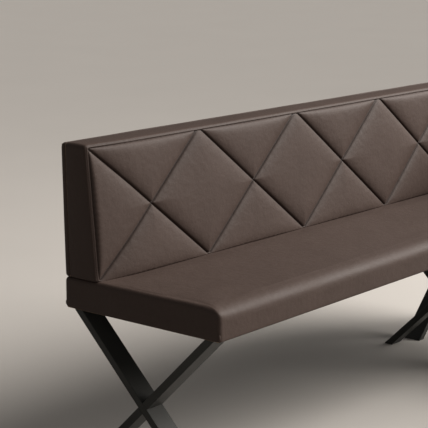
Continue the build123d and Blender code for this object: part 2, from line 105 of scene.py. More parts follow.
class BENCH_PG_sizes(bpy.types.PropertyGroup):
    """Sizes of the upholstery"""

    back_foot: length_setting(
        "Back thickness at foot", "From the rear plane to the front seam", 126.0
    )
    back_top: length_setting("Back thickness at top", "From the rear plane to the front seam", 89.0)
    back_lean: length_setting("Lean of the rear", "How far the rear leans back to its top", 8.0)
    top_seam_drop: length_setting(
        "Top seam drop", "How far the top seam lies under the top edge", 8.0
    )
    recess_foot: length_setting(
        "End recess at foot", "How far the front draws back at the free end's foot", 12.0
    )
    recess_top: length_setting(
        "End recess at top", "How far the front draws back at the free end's top", 7.0
    )
    rear_seam: length_setting("Rear seam", "Distance of the rear seam from the rear plane", 20.0)
    first_width: length_setting(
        "First lozenge", "Free end to the first point of the quilting", 422.0
    )
    lozenge_width: length_setting(
        "Lozenge width", "Distance between the points of the quilting", 433.0, least=100.0
    )
    top_split: length_setting(
        "Point split", "Half distance between two sewn lines at the top seam", 9.5
    )
    crest: length_setting("Panel crest", "How far a quilted panel stands out", 11.5, most=12.0)
    valley: length_setting("Sewn valley", "Depth of a sewn line behind the seam plane", 4.5)
    seat_swell: length_setting("Seat swell", "How far the seat cushion swells", 4.5, most=10.0)
    stitch_pitch: length_setting(
        "Stitch pitch", "Distance from one stitch to the next", 5.5, least=2.0
    )
    stitch_length: length_setting("Stitch length", "Visible length of one stitch", 4.2, least=1.0)
    thread_radius: length_setting(
        "Thread radius", "Half the thickness of the thread", 0.45, least=0.1
    )
    skin: length_setting("Leather thickness", "Thickness of the leather", 1.5, least=0.8)


class BENCH_PG_colours(bpy.types.PropertyGroup):
    """Colours of the finishes"""

    leather: colour_setting("Leather", "Main colour of the leather", (0.078, 0.0525, 0.0430))
    # The deep colour also gives the painted shade in sewn lines and seams: taken at 0.30 and laid
    # on by the fold_shade attribute.
    leather_deep: colour_setting(
        "Leather, deep", "Colour in the pores and sewn lines", (0.048, 0.031, 0.025)
    )
    leather_rubbed: colour_setting(
        "Leather, rubbed", "Colour where the leather is handled", (0.100, 0.0690, 0.0575)
    )
    thread: colour_setting("Thread", "Colour of the sewing thread", (0.040, 0.027, 0.022))
    steel: colour_setting("Black steel", "Colour of the powder coat", (0.034, 0.034, 0.0305))
    floor: colour_setting("Floor", "Colour of the floor", (0.62, 0.585, 0.545))


def sizes():
    """The panel's sizes in millimetres."""
    kept = bpy.context.scene.bench_sizes
    labels = BENCH_PG_sizes.__annotations__
    return SimpleNamespace(**{label: round(getattr(kept, label) / MM, 3) for label in labels})


def colours():
    """The panel's colours."""
    return bpy.context.scene.bench_colours


# Places


def at_bench(x, y, z):
    """Scene place of a point given on the long wing's axes."""
    return ORIGIN + Vector((x, y, z)) * MM


def long_wing(points):
    """Scene places of points given on the long wing's axes."""
    points = np.asarray(points, dtype=float)
    return points * MM + np.array(ORIGIN)


def short_wing(points):
    """The same for the short wing, which is mirrored about the corner's diagonal."""
    points = np.asarray(points, dtype=float)
    turned = np.empty_like(points)
    turned[:, 0] = LONG_LENGTH + points[:, 1]
    turned[:, 1] = points[:, 0] - SHORT_LENGTH
    turned[:, 2] = points[:, 2]
    return turned * MM + np.array(ORIGIN)


def back_to_wing(wing, places):
    """Wing points of scene places."""
    local = (np.asarray(places) - np.array(ORIGIN)) / MM
    if not wing.mirrored:
        return local
    turned = np.empty_like(local)
    turned[:, 0] = local[:, 1] + SHORT_LENGTH
    turned[:, 1] = local[:, 0] - LONG_LENGTH
    turned[:, 2] = local[:, 2]
    return turned


def smoothstep(low, high, value):
    """Soft step from 0 at low to 1 at high."""
    share = np.clip((value - low) / (high - low), 0.0, 1.0)
    return share * share * (3 - 2 * share)


def rear_y(z):
    """Rear line of the backrest at a height."""
    return sizes().back_lean * (z - BACK_BOTTOM) / BACK_RISE


def front_y(z):
    """Seam line of the quilted front at a height."""
    run = sizes().back_foot - sizes().back_top
    return -sizes().back_foot + run * (z - BACK_BOTTOM) / BACK_RISE


def end_recess(x, share):
    """How far the front draws back near the free end; share is the height, foot to top."""
    reach = 150.0
    amount = sizes().recess_foot + (sizes().recess_top - sizes().recess_foot) * share
    return amount * (1 - smoothstep(0.0, reach, x))


def end_planes():
    """Planes that end the long and the short backrest: scene point and outward normal."""
    low, high = BACK_BOTTOM, TOTAL_HEIGHT
    inset = 3
    long_foot = at_bench(LONG_LENGTH - inset, 0, low)
    long_head = at_bench(LONG_LENGTH - inset + sizes().back_lean, 0, high)
    long_normal = (long_head - long_foot).cross(Vector((0.0, 1.0, 0.0))).normalized()
    if long_normal.x < 0:
        long_normal = -long_normal

    clearance = 7.3
    ends = [[SHORT_LENGTH + front_y(z) - clearance, 0.0, z] for z in (low, high)]
    short_foot, short_head = (Vector(place) for place in short_wing(np.array(ends)))
    short_normal = Vector((1.0, 0.0, 0.0)).cross(short_head - short_foot).normalized()
    start, ahead = short_wing(np.array([[0.0, 0, 0], [1.0, 0, 0]]))
    if short_normal.dot(Vector(ahead - start)) < 0:
        short_normal = -short_normal
    return (long_foot, long_normal), (short_foot, short_normal)


def wings():
    """The two wings of the bench, with what differs between them."""
    half = (sizes().back_foot + sizes().back_top) / 2
    long_end, short_end = end_planes()
    return (
        SimpleNamespace(
            name="long", place=long_wing, mirrored=False, length=LONG_LENGTH,
            corner=LONG_LENGTH - half, lean=sizes().back_lean, end=long_end, cut=None,
            seat_length=LONG_LENGTH, seat_joint=LONG_LENGTH - SEAT_DEPTH,
        ),
        SimpleNamespace(
            name="short", place=short_wing, mirrored=True, length=SHORT_LENGTH,
            corner=SHORT_LENGTH - half, lean=0.0, end=short_end, cut=short_end,
            seat_length=SHORT_SEAT_LENGTH, seat_joint=SHORT_SEAT_LENGTH - JOINT_MARGIN,
        ),
    )


# Meshes


def make_piece(wing, name, points, faces, material):
    """Smooth object from wing points and faces, fixed to the bench."""
    if not faces:
        raise RuntimeError(f"{name} has no faces")
    if wing.mirrored:
        faces = [tuple(reversed(face)) for face in faces]
    mesh = bpy.data.meshes.new(name)
    mesh.from_pydata([tuple(point) for point in wing.place(points)], [], faces)
    mesh.validate()
    mesh.polygons.foreach_set("use_smooth", [True] * len(mesh.polygons))
    mesh.materials.append(material)
    made = bpy.data.objects.new(name, mesh)
    bpy.context.scene.collection.objects.link(made)
    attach(made, "root")
    return made


def read_vectors(thing, label):
    """Vertex places (co) or normals (normal) of an object as an array."""
    flat = np.empty(len(thing.data.vertices) * 3)
    thing.data.vertices.foreach_get(label, flat)
    return flat.reshape(-1, 3)


def write_points(thing, points):
    """Move all vertices of an object."""
    thing.data.vertices.foreach_set("co", np.asarray(points, dtype=float).ravel())
    thing.data.update()


def write_fold_shade(thing, values):
    """Keep how much painted shade each vertex gets from lying in a fold, for the leather's colour.
    """
    shade = thing.data.attributes.new("fold_shade", "FLOAT", "POINT")
    shade.data.foreach_set("value", values)


def apply_modifier(thing, modifier):
    """Make a modifier's result the object's own mesh."""
    with bpy.context.temp_override(object=thing, active_object=thing):
        bpy.ops.object.modifier_apply(modifier=modifier.name)


def inflate(thing, held):
    """Cloth simulation of a padded cover; held vertices stay sewn down."""
    group = thing.vertex_groups.new(name="sewn")
    group.add([int(index) for index in np.nonzero(held)[0]], 1.0, "REPLACE")
    cloth = thing.modifiers.new("cloth", "CLOTH")
    settings = cloth.settings
    settings.quality = 5
    settings.mass = 0.4
    settings.tension_stiffness = 12
    settings.compression_stiffness = 12
    settings.shear_stiffness = 6
    settings.bending_stiffness = 1.5
    settings.use_pressure = True
    settings.uniform_pressure_force = PRESSURE
    settings.vertex_group_mass = "sewn"
    settings.effector_weights.gravity = 0
    cloth.collision_settings.use_collision = False
    cloth.point_cache.frame_start = 1
    cloth.point_cache.frame_end = SIMULATED_FRAMES
    scene = bpy.context.scene
    for number in range(1, SIMULATED_FRAMES + 1):
        scene.frame_set(number)
    apply_modifier(thing, cloth)
    scene.frame_set(1)
    thing.vertex_groups.clear()


def subdivide(thing):
    """One level of smooth subdivision."""
    modifier = thing.modifiers.new("subdivision", "SUBSURF")
    modifier.levels = 1
    modifier.render_levels = 1
    modifier.boundary_smooth = "PRESERVE_CORNERS"
    apply_modifier(thing, modifier)


def subdivide_creased(thing, sewn):
    """The same, with the edges between sewn vertices kept sharp by Blender's own attribute."""
    creases = thing.data.attributes.new("crease_edge", "FLOAT", "EDGE")
    sharp = [float(sewn[edge.vertices[0]] and sewn[edge.vertices[1]]) for edge in thing.data.edges]
    creases.data.foreach_set("value", sharp)
    subdivide(thing)
    if "crease_edge" in thing.data.attributes:
        thing.data.attributes.remove(thing.data.attributes["crease_edge"])


def ripple(places, scale, seed):
    """Smooth noise at scene places, for waves of about scale millimetres."""
    factor = 1.0 / (scale * MM)
    shift = Vector((seed * 3.1, seed * 1.7, seed * 2.3))
    values = [
        noise.fractal(Vector(place) * factor + shift, 1.0, 2.0, 2, noise_basis="PERLIN_ORIGINAL")
        for place in places
    ]
    return np.array(values)


def make_wavy(thing, scale, seed, height):
    """Let stretched leather rise and fall in soft waves."""
    rest = read_vectors(thing, "co")
    normals = read_vectors(thing, "normal")
    wave = ripple(rest, scale, seed) * height
    write_points(thing, rest + normals * (wave * MM)[:, None])


def slice_mesh(mesh, plane):
    """Cut away what lies beyond a plane; returns the edges of the cut."""
    point, normal = plane
    everything = mesh.verts[:] + mesh.edges[:] + mesh.faces[:]
    made = bmesh.ops.bisect_plane(
        mesh, geom=everything, dist=1e-6, plane_co=point, plane_no=normal, clear_outer=True
    )
    return [item for item in made["geom_cut"] if isinstance(item, bmesh.types.BMEdge)]


def close_edges(mesh, rim):
    """Fill open edges with faces and keep the whole mesh smooth."""
    bmesh.ops.holes_fill(mesh, edges=rim, sides=0)
    for face in mesh.faces:
        face.smooth = True


def trim(thing, plane):
    """Cut a closed piece with a plane and close it again."""
    mesh = bmesh.new()
    mesh.from_mesh(thing.data)
    close_edges(mesh, slice_mesh(mesh, plane))
    mesh.to_mesh(thing.data)
    mesh.free()


def close_pad(thing, plane, backward):
    """End an open sheet at a plane and give it side walls and a back."""
    mesh = bmesh.new()
    mesh.from_mesh(thing.data)
    slice_mesh(mesh, plane)
    mesh.to_mesh(thing.data)
    mesh.free()

    # Read again, because how the back is divided follows the order of its rim.
    mesh = bmesh.new()
    mesh.from_mesh(thing.data)
    rim = [edge for edge in mesh.edges if edge.is_boundary]
    made = bmesh.ops.extrude_edge_only(mesh, edges=rim)["geom"]
    fresh = {item for item in made if isinstance(item, bmesh.types.BMVert)}
    for vert in fresh:
        vert.co += backward
    back_rim = [
        item for item in made
        if isinstance(item, bmesh.types.BMEdge) and fresh.issuperset(item.verts)
    ]
    close_edges(mesh, back_rim)
    bmesh.ops.recalc_face_normals(mesh, faces=mesh.faces[:])
    mesh.to_mesh(thing.data)
    mesh.free()


# Shader nodes


def feed(tree, socket, value):
    """Set a socket to a number or colour, or link an output to it."""
    if isinstance(value, (int, float, tuple)):
        socket.default_value = value
    else:
        tree.links.new(value, socket)


def object_place(tree):
    """Place on the object, in metres."""
    return tree.nodes.new("ShaderNodeTexCoord").outputs["Object"]


def math_node(tree, operation, first, second, clamp=False):
    """Result of a sum on two values."""
    node = tree.nodes.new("ShaderNodeMath")
    node.operation = operation
    node.use_clamp = clamp
    feed(tree, node.inputs[0], first)
    feed(tree, node.inputs[1], second)
    return node.outputs[0]


def noise_node(tree, vector, scale, detail, roughness):
    """Cloudy noise from 0 to 1."""
    node = tree.nodes.new("ShaderNodeTexNoise")
    feed(tree, node.inputs["Vector"], vector)
    feed(tree, node.inputs["Scale"], scale)
    feed(tree, node.inputs["Detail"], detail)
    feed(tree, node.inputs["Roughness"], roughness)
    return node.outputs["Fac"]


def cell_node(tree, vector, scale, feature="F1"):
    """Distance within cells of a given number per metre."""
    node = tree.nodes.new("ShaderNodeTexVoronoi")
    node.feature = feature
    feed(tree, node.inputs["Vector"], vector)
    feed(tree, node.inputs["Scale"], scale)
    return node.outputs["Distance"]


def stretched(tree, vector, scale):
    """A place stretched by a scale on each axis."""
    node = tree.nodes.new("ShaderNodeMapping")
    node.inputs["Scale"].default_value = scale
    feed(tree, node.inputs["Vector"], vector)
    return node.outputs[0]


def blend_colours(tree, share, first, second):
    """Colour between two colours."""
    node = tree.nodes.new("ShaderNodeMix")
    node.data_type = "RGBA"
    for index, value in ((0, share), (6, first), (7, second)):
        feed(tree, node.inputs[index], value)
    return node.outputs[2]


def ranged(tree, value, low, high, start=0.0, stop=1.0):
    """A value from start to stop, spread from low to high."""
    node = tree.nodes.new("ShaderNodeMapRange")
    numbers = {"From Min": start, "From Max": stop, "To Min": low, "To Max": high}
    for label, number in numbers.items():
        node.inputs[label].default_value = number
    feed(tree, node.inputs["Value"], value)
    return node.outputs["Result"]


def bump(tree, shader, height):
    """Relief of the surface; height is in metres."""
    node = tree.nodes.new("ShaderNodeBump")
    node.inputs["Strength"].default_value = 1.0
    node.inputs["Distance"].default_value = 1.0
    feed(tree, node.inputs["Height"], height)
    feed(tree, shader.inputs["Normal"], node.outputs["Normal"])


def surface(tree, shader, tone, uneven, roughness, height):
    """Colour, uneven roughness between two values and relief of a finish."""
    feed(tree, shader.inputs["Base Color"], tone)
    feed(tree, shader.inputs["Roughness"], ranged(tree, uneven, *roughness))
    if height is not None:
        bump(tree, shader, height)


def opaque(colour, factor=1.0):
    """Colour with its alpha, lighter or darker by a factor."""
    return tuple(value * factor for value in colour[:3]) + (1.0,)


def new_group(name, inputs, outputs):
    """Empty shader node group with named sockets."""
    tree = bpy.data.node_groups.new(name, "ShaderNodeTree")
    for label, value in inputs.items():
        socket = tree.interface.new_socket(
            name=label, in_out="INPUT", socket_type="NodeSocketFloat"
        )
        socket.default_value = value
    for label in outputs:
        tree.interface.new_socket(name=label, in_out="OUTPUT", socket_type="NodeSocketFloat")
    return tree, tree.nodes.new("NodeGroupInput"), tree.nodes.new("NodeGroupOutput")


def leather_grain_group():
    """Pores, pebbles and soft mottling of finished leather, in real sizes."""
    name = "leather_grain"
    if name in bpy.data.node_groups:
        return bpy.data.node_groups[name]
    tree, entry, leave = new_group(
        name,
        {"Pebbles per metre": 620.0, "Mottling per metre": 9.0, "Pebble height": 0.00005},
        ("Height", "Pores", "Mottling", "Streaks"),
    )
    place = object_place(tree)
    wander = tree.nodes.new("ShaderNodeTexNoise")
    wander.inputs["Scale"].default_value = 260
    wander.inputs["Detail"].default_value = 2
    feed(tree, wander.inputs["Vector"], place)
    warp = tree.nodes.new("ShaderNodeVectorMath")
    warp.operation = "MULTIPLY_ADD"
    warp.inputs[1].default_value = (0.0012, 0.0012, 0.0012)
    feed(tree, warp.inputs[0], wander.outputs["Color"])
    feed(tree, warp.inputs[2], place)
    per_metre = entry.outputs["Pebbles per metre"]
    edges = cell_node(tree, warp.outputs[0], per_metre, "DISTANCE_TO_EDGE")
    pebble = ranged(tree, edges, 0.0, 1.0, stop=0.22)
    fine = noise_node(tree, place, 1900.0, 3.0, 0.6)
    both = math_node(tree, "ADD", pebble, math_node(tree, "MULTIPLY", fine, 0.5))
    height = math_node(tree, "MULTIPLY", both, entry.outputs["Pebble height"])
    waves = math_node(tree, "MULTIPLY", noise_node(tree, place, 55.0, 3.0, 0.55), 0.0011)
    streaks = noise_node(tree, stretched(tree, place, (42.0, 42.0, 7.0)), 1.0, 3.0, 0.6)
    per_metre = entry.outputs["Mottling per metre"]
    feed(tree, leave.inputs["Height"], math_node(tree, "ADD", height, waves))
    feed(tree, leave.inputs["Pores"], math_node(tree, "SUBTRACT", 1.0, pebble, clamp=True))
    feed(tree, leave.inputs["Mottling"], noise_node(tree, place, per_metre, 4.0, 0.55))
    feed(tree, leave.inputs["Streaks"], streaks)
    return tree


def handled_wear_group():
    """Wear on edges that hands and clothes rub, and dust on what faces up."""
    name = "handled_wear"
    if name in bpy.data.node_groups:
        return bpy.data.node_groups[name]
    tree, entry, leave = new_group(
        name, {"Patch per metre": 16.0, "Amount": 0.5}, ("Wear", "Dust")
    )
    place = object_place(tree)
    geometry = tree.nodes.new("ShaderNodeNewGeometry")
    edge = ranged(tree, geometry.outputs["Pointiness"], 0.0, 1.0, start=0.5, stop=0.62)
    patch = noise_node(tree, place, entry.outputs["Patch per metre"], 5.0, 0.62)
    worn = math_node(tree, "MULTIPLY", edge, patch)
    facing = tree.nodes.new("ShaderNodeSeparateXYZ")
    feed(tree, facing.inputs[0], geometry.outputs["Normal"])
    upward = math_node(tree, "MAXIMUM", facing.outputs["Z"], 0.0)
    speck = noise_node(tree, place, 420.0, 2.0, 0.7)
    worn = math_node(tree, "MULTIPLY", worn, entry.outputs["Amount"])
    feed(tree, leave.inputs["Wear"], worn)
    feed(tree, leave.inputs["Dust"], math_node(tree, "MULTIPLY", upward, speck))
    return tree


def placed_group(tree, group, **values):
    """A node group in a material, with its own values."""
    node = tree.nodes.new("ShaderNodeGroup")
    node.node_tree = group
    for label, value in values.items():
        node.inputs[label.replace("_", " ")].default_value = value
    return node.outputs


# Materials


def finish(name, dress, **options):
    """Material of this name; dress lays its nodes when it is new."""
    if name not in bpy.data.materials:
        material = bpy.data.materials.new(name)
        material.use_nodes = True
        dress(material.node_tree, material.node_tree.nodes["Principled BSDF"], **options)
    return bpy.data.materials[name]


def leather(tree, shader, mottling=9.0):
    """Dark finished leather with fine pebbles, mottling, rubbed edges and painted shade in its
    folds.
    """
    main, deep, rubbed = (
        opaque(colour)
        for colour in (colours().leather, colours().leather_deep, colours().leather_rubbed)
    )
    grain = placed_group(tree, leather_grain_group(), Mottling_per_metre=mottling)
    wear = placed_group(tree, handled_wear_group(), Amount=0.55)
    cloudy = ranged(tree, grain["Mottling"], -0.35, 1.25)
    tone = blend_colours(tree, cloudy, main, rubbed)
    streaky = ranged(tree, grain["Streaks"], -0.3, 0.8)
    tone = blend_colours(tree, math_node(tree, "MULTIPLY", streaky, 0.45, clamp=True), tone, main)
    tone = blend_colours(tree, math_node(tree, "MULTIPLY", grain["Pores"], 0.55), tone, deep)
    tone = blend_colours(tree, wear["Wear"], tone, rubbed)
    # Painted shade: the fold_shade attribute darkens the colour towards a near-black leather in
    # sewn lines, seams and the topstitch groove.
    fold = tree.nodes.new("ShaderNodeAttribute")
    fold.attribute_name = "fold_shade"
    painted_fold_shade = math_node(tree, "MULTIPLY", fold.outputs["Fac"], 0.9, clamp=True)
    tone = blend_colours(tree, painted_fold_shade, tone, opaque(deep, 0.30))
    pores = math_node(tree, "MULTIPLY", grain["Pores"], 0.4)
    uneven = math_node(tree, "ADD", grain["Mottling"], pores)
    shader.inputs["Specular IOR Level"].default_value = 0.22
    surface(tree, shader, tone, uneven, (0.50, 0.64), grain["Height"])


def sewing_thread(tree, shader):
    """Twisted sewing thread, a little lighter on its strands."""
    twist = noise_node(tree, object_place(tree), 2400.0, 2.0, 0.6)
    tone = blend_colours(tree, twist, opaque(colours().thread), opaque(colours().thread, 1.7))
    height = math_node(tree, "MULTIPLY", twist, 0.0001)
    surface(tree, shader, tone, twist, (0.55, 0.8), height)


def powder_coat(tree, shader):
    """Satin black powder coat with a fine orange peel."""
    place = object_place(tree)
    wear = placed_group(tree, handled_wear_group(), Amount=0.35, Patch_per_metre=30.0)
    peel = noise_node(tree, place, 900.0, 3.0, 0.55)
    cloud = noise_node(tree, place, 14.0, 4.0, 0.6)
    base = opaque(colours().steel)
    pale = (base[0] * 1.5, base[1] * 1.45, base[2] * 1.4, 1.0)
    tone = blend_colours(tree, ranged(tree, cloud, -0.2, 0.9), base, pale)
    dust = math_node(tree, "MULTIPLY", wear["Dust"], 0.22)
    tone = blend_colours(tree, dust, tone, (0.09, 0.082, 0.074, 1))
    tone = blend_colours(tree, wear["Wear"], tone, (0.05, 0.05, 0.048, 1))
    shader.inputs["Specular IOR Level"].default_value = 0.26
    height = math_node(tree, "MULTIPLY", peel, 0.00006)
    surface(tree, shader, tone, cloud, (0.42, 0.56), height)


def birch_plywood(tree, shader):
    """Birch with a long figure and thin layers that show on cut edges."""
    place = object_place(tree)
    figure = noise_node(tree, stretched(tree, place, (6.0, 120.0, 120.0)), 1.0, 5.0, 0.6)
    layers = tree.nodes.new("ShaderNodeTexWave")
    layers.bands_direction = "Z"
    layers.inputs["Scale"].default_value = 110.0
    layers.inputs["Distortion"].default_value = 0.4
    feed(tree, layers.inputs["Vector"], place)
    tone = blend_colours(tree, figure, (0.42, 0.27, 0.14, 1), (0.60, 0.43, 0.26, 1))
    edge = math_node(tree, "MULTIPLY", layers.outputs["Fac"], 0.3)
    tone = blend_colours(tree, edge, tone, (0.22, 0.13, 0.07, 1))
    height = math_node(tree, "MULTIPLY", figure, 0.0002)
    surface(tree, shader, tone, figure, (0.5, 0.72), height)


def dust_cloth(tree, shader):
    """Black spun cloth with a fine bonded pattern."""
    place = object_place(tree)
    fibres = noise_node(tree, place, 1500.0, 4.0, 0.7)
    bonded = cell_node(tree, place, 500.0)
    tone = blend_colours(tree, fibres, (0.012, 0.012, 0.012, 1), (0.045, 0.044, 0.042, 1))
    height = math_node(tree, "MULTIPLY", math_node(tree, "ADD", bonded, fibres), 0.0001)
    surface(tree, shader, tone, fibres, (0.8, 0.95), height)


def cut_foam(tree, shader):
    """Yellowish foam with open cells."""
    cells = cell_node(tree, object_place(tree), 900.0)
    tone = blend_colours(tree, cells, (0.50, 0.44, 0.30, 1), (0.72, 0.66, 0.48, 1))
    height = math_node(tree, "MULTIPLY", cells, 0.0003)
    surface(tree, shader, tone, cells, (0.75, 0.95), height)


def zinc_plate(tree, shader):
    """Bright zinc plate with a fine spangle, for screws, bolts and inserts."""
    spangle = noise_node(tree, object_place(tree), 700.0, 4.0, 0.6)
    wear = placed_group(tree, handled_wear_group(), Amount=0.4, Patch_per_metre=200.0)
    tone = blend_colours(tree, spangle, (0.42, 0.42, 0.43, 1), (0.62, 0.62, 0.61, 1))
    tone = blend_colours(tree, wear["Dust"], tone, (0.36, 0.34, 0.31, 1))
    shader.inputs["Metallic"].default_value = 1.0
    height = math_node(tree, "MULTIPLY", spangle, 0.00004)
    surface(tree, shader, tone, spangle, (0.28, 0.48), height)


def glide_plastic(tree, shader):
    """Black moulded plastic, scuffed on its edges."""
    grain = noise_node(tree, object_place(tree), 1100.0, 3.0, 0.6)
    wear = placed_group(tree, handled_wear_group(), Amount=0.5, Patch_per_metre=90.0)
    tone = blend_colours(tree, grain, (0.018, 0.018, 0.018, 1), (0.040, 0.040, 0.040, 1))
    tone = blend_colours(tree, wear["Wear"], tone, (0.11, 0.11, 0.10, 1))
    height = math_node(tree, "MULTIPLY", grain, 0.00008)
    surface(tree, shader, tone, grain, (0.5, 0.7), height)


def pale_floor(tree, shader):
    """Plain floor that is pale to the eye and in gloss, and throws little light back."""
    cloud = noise_node(tree, object_place(tree), 1.4, 4.0, 0.6)
    tone = colours().floor
    pale = blend_colours(tree, cloud, opaque(tone, 0.96), opaque(tone))
    path = tree.nodes.new("ShaderNodeLightPath").outputs
    seen = math_node(tree, "ADD", path["Is Camera Ray"], path["Is Glossy Ray"])
    seen = math_node(tree, "ADD", seen, path["Is Transmission Ray"], clamp=True)
    tone = blend_colours(tree, seen, opaque(tone, 0.2), pale)
    shader.inputs["Specular IOR Level"].default_value = 0.2
    surface(tree, shader, tone, cloud, (0.55, 0.7), None)


# Stitches

# One stitch: place along it, share of the thread's thickness and height above the leather.
STITCH_PROFILE = (
    (-0.5, 0.35, -1.1),
    (-0.36, 0.95, -0.15),
    (0.0, 1.0, 0.2),
    (0.36, 0.95, -0.15),
    (0.5, 0.35, -1.1),
)
THREAD_SIDES = 6


def unit(vector):
    """Vector of length 1."""
    return vector / max(np.linalg.norm(vector), 1e-9)


def tube_faces(base, sides, rings):
    """Faces of a closed tube of rings, each with so many sides."""
    faces = []
    for ring in range(rings - 1):
        first = base + ring * sides
        faces += band_faces(first, first + sides, sides)
    last = base + (rings - 1) * sides
    faces.append(tuple(base + corner for corner in reversed(range(sides))))
    faces.append(tuple(last + corner for corner in range(sides)))
    return faces


def stitch_row(wing, name, courses):
    """Thread stitches along courses, which are lists of (point, outward) pairs."""
    pitch, length = sizes().stitch_pitch, sizes().stitch_length
    radius = sizes().thread_radius
    turns = [2 * math.pi * corner / THREAD_SIDES for corner in range(THREAD_SIDES)]
    points = []
    faces = []
    for course in courses:
        spots, outs = (np.array(column, dtype=float) for column in zip(*course))
        steps = np.linalg.norm(np.diff(spots, axis=0), axis=1)
        reach = np.concatenate(([0.0], np.cumsum(steps)))

        def at(along, values):
            return np.array([np.interp(along, reach, values[:, axis]) for axis in range(3)])

        count = int(reach[-1] / pitch)
        start = (reach[-1] - count * pitch) / 2 + pitch / 2
        for index in range(count):
            along = start + index * pitch
            middle = at(along, spots)
            run = unit(at(along + 1.0, spots) - at(along - 1.0, spots))
            out = at(along, outs)
            out = unit(out - run * np.dot(run, out))
            side = np.cross(run, out)
            faces += tube_faces(len(points), THREAD_SIDES, len(STITCH_PROFILE))
            for share, wide, lift in STITCH_PROFILE:
                centre = middle + run * (share * length) + out * (lift * radius)
                for turn in turns:
                    around = side * math.cos(turn) + out * math.sin(turn)
                    points.append(centre + radius * wide * around)
    thread = finish("sewing_thread", sewing_thread)
    return make_piece(wing, name, np.array(points), faces, thread)


# Quilted fronts

BOXING_LIP = (10.0, 10.0)  # rounding at the free end: along the wing and in depth
LOZENGE_STEPS = 64  # steps of the net across one lozenge
NET_PULL = 0.6  # how much the net is drawn towards the sewn lines
PAD_DEPTH = 34  # from the seam plane back into the frame
STRETCH = 10.0  # carries the swell through the subdivision as a depth
PANEL_ROLLS = ((0.45, 12.0), (0.55, 42.0))  # share and reach of the rise beside a sewn line
SWELL_SHARE = 0.28  # share of the crest that comes from the swell
EDGE_REACH, FOOT_REACH = 7.0, 9.0  # tuck under the top and end seams, and at the foot
END_STEEPNESS = 2.2  # the tuck is this much shorter at the free end
GROOVES = ((0.25, 5.0), (0.75, 2.4))  # share and width of a sewn line's slope and of its slot
RIM_WIDTH, RIM_DEPTH = 2.2, 2.4  # slot along the top and end seams
LONG_WAVES = (150.0, 3, 0.9)  # wave length, noise seed and height
PUCKERS = (22.0, 5, 0.55)
SLOPE_SHADE = (0.34, 8.0)  # painted shade beside a sewn line and its reach


def stations(corner):
    """Places along a wing where the sewn lines meet the seams."""
    found = [0.0, sizes().first_width]
    while found[-1] + sizes().lozenge_width < corner:
        found.append(found[-1] + sizes().lozenge_width)
    found.append(2 * corner - found[-1])
    return found


def graded(value):
    """Place in a net of lozenges, drawn towards the sewn edges around it."""
    whole = math.floor(value)
    part = value - whole
    return whole + (part - NET_PULL / (2 * math.pi) * math.sin(2 * math.pi * part))


def share_between(value, low, high, first, second):
    """Value moved from the range low to high into the range first to second."""
    if high - low <= 1e-9:
        return second
    return first + (second - first) * (value - low) / (high - low)


def quilt_spot(p, q, width, near_split, split):
    """Place along one cell and share of its height, where both diagonals run straight."""
    slope = width - split
    falling = width - near_split
    cross = width / (slope + falling)
    if q <= 0.5:
        height = q / 0.5 * cross
    else:
        height = cross + (q - 0.5) / 0.5 * (1 - cross)
    first, second = height * slope, width - height * falling
    if q > 0.5:
        first, second = second, first
    low_edge = min(q, 1 - q)
    high_edge = 1 - low_edge
    if p <= low_edge:
        along = first * (p / low_edge) if low_edge > 1e-9 else 0.0
    elif p >= high_edge:
        along = share_between(p, high_edge, 1.0, second, width)
    else:
        along = share_between(p, low_edge, high_edge, first, second)
    return along, height


def quilt_net(marks, low, high):
    """Points (u, v, sewn) and faces of a net whose lines run along the sewn diagonals."""
    count = LOZENGE_STEPS
    split = sizes().top_split
    points = []
    lookup = {}
    for cell, (left, right) in enumerate(zip(marks, marks[1:])):
        near_split = split if cell > 0 else 0.0
        for i in range(count + 1):
            for j in range(i % 2, count + 1, 2):
                key = (cell * count + i, j)
                if key in lookup:
                    continue
                a = graded((i + j) / count)
                b = graded((i - j) / count)
                p, q = (a + b) / 2, (a - b) / 2
                along, height = quilt_spot(p, q, right - left, near_split, split)
                sewn = i == j or i + j == count
                lookup[key] = len(points)
                points.append((left + along, low + (high - low) * height, float(sewn)))
    faces = []
    columns = (len(marks) - 1) * count
    for i in range(columns + 1):
        for j in range(i % 2, count + 1, 2):
            corners = ((i, j), (i + 1, j - 1), (i + 2, j), (i + 1, j + 1))
            face = tuple(lookup[corner] for corner in corners if corner in lookup)
            if len(face) > 2 and (i + 2, j) in lookup:
                faces.append(face)
    for j in range(0, count - 1, 2):
        faces.append((lookup[(0, j)], lookup[(1, j + 1)], lookup[(0, j + 2)]))
        faces.append(
            (lookup[(columns, j + 2)], lookup[(columns - 1, j + 1)], lookup[(columns, j)])
        )
    return np.array(points), faces


def sewn_lines(marks, low, high):
    """Straight sewn diagonals as pairs of (u, v) places."""
    split = sizes().top_split
    lines = []
    for cell, (left, right) in enumerate(zip(marks, marks[1:])):
        near_split = split if cell > 0 else 0.0
        lines.append(np.array(((left, low), (right - split, high))))
        lines.append(np.array(((left + near_split, high), (right, low))))
    return lines


def seam_distance(plan, lines):
    """Distance of each place to the nearest sewn line."""
    nearest = np.full(len(plan), 1e9)
    for start, end in lines:
        run = end - start
        share = np.clip(((plan - start) @ run) / (run @ run), 0.0, 1.0)
        gap = np.linalg.norm(plan - (start + share[:, None] * run), axis=1)
        nearest = np.minimum(nearest, gap)
    return nearest


def front_slant():
    """Length of the front's seam line from foot to top, and how far it runs back."""
    run = sizes().back_foot - sizes().back_top
    return math.hypot(run, BACK_RISE), run


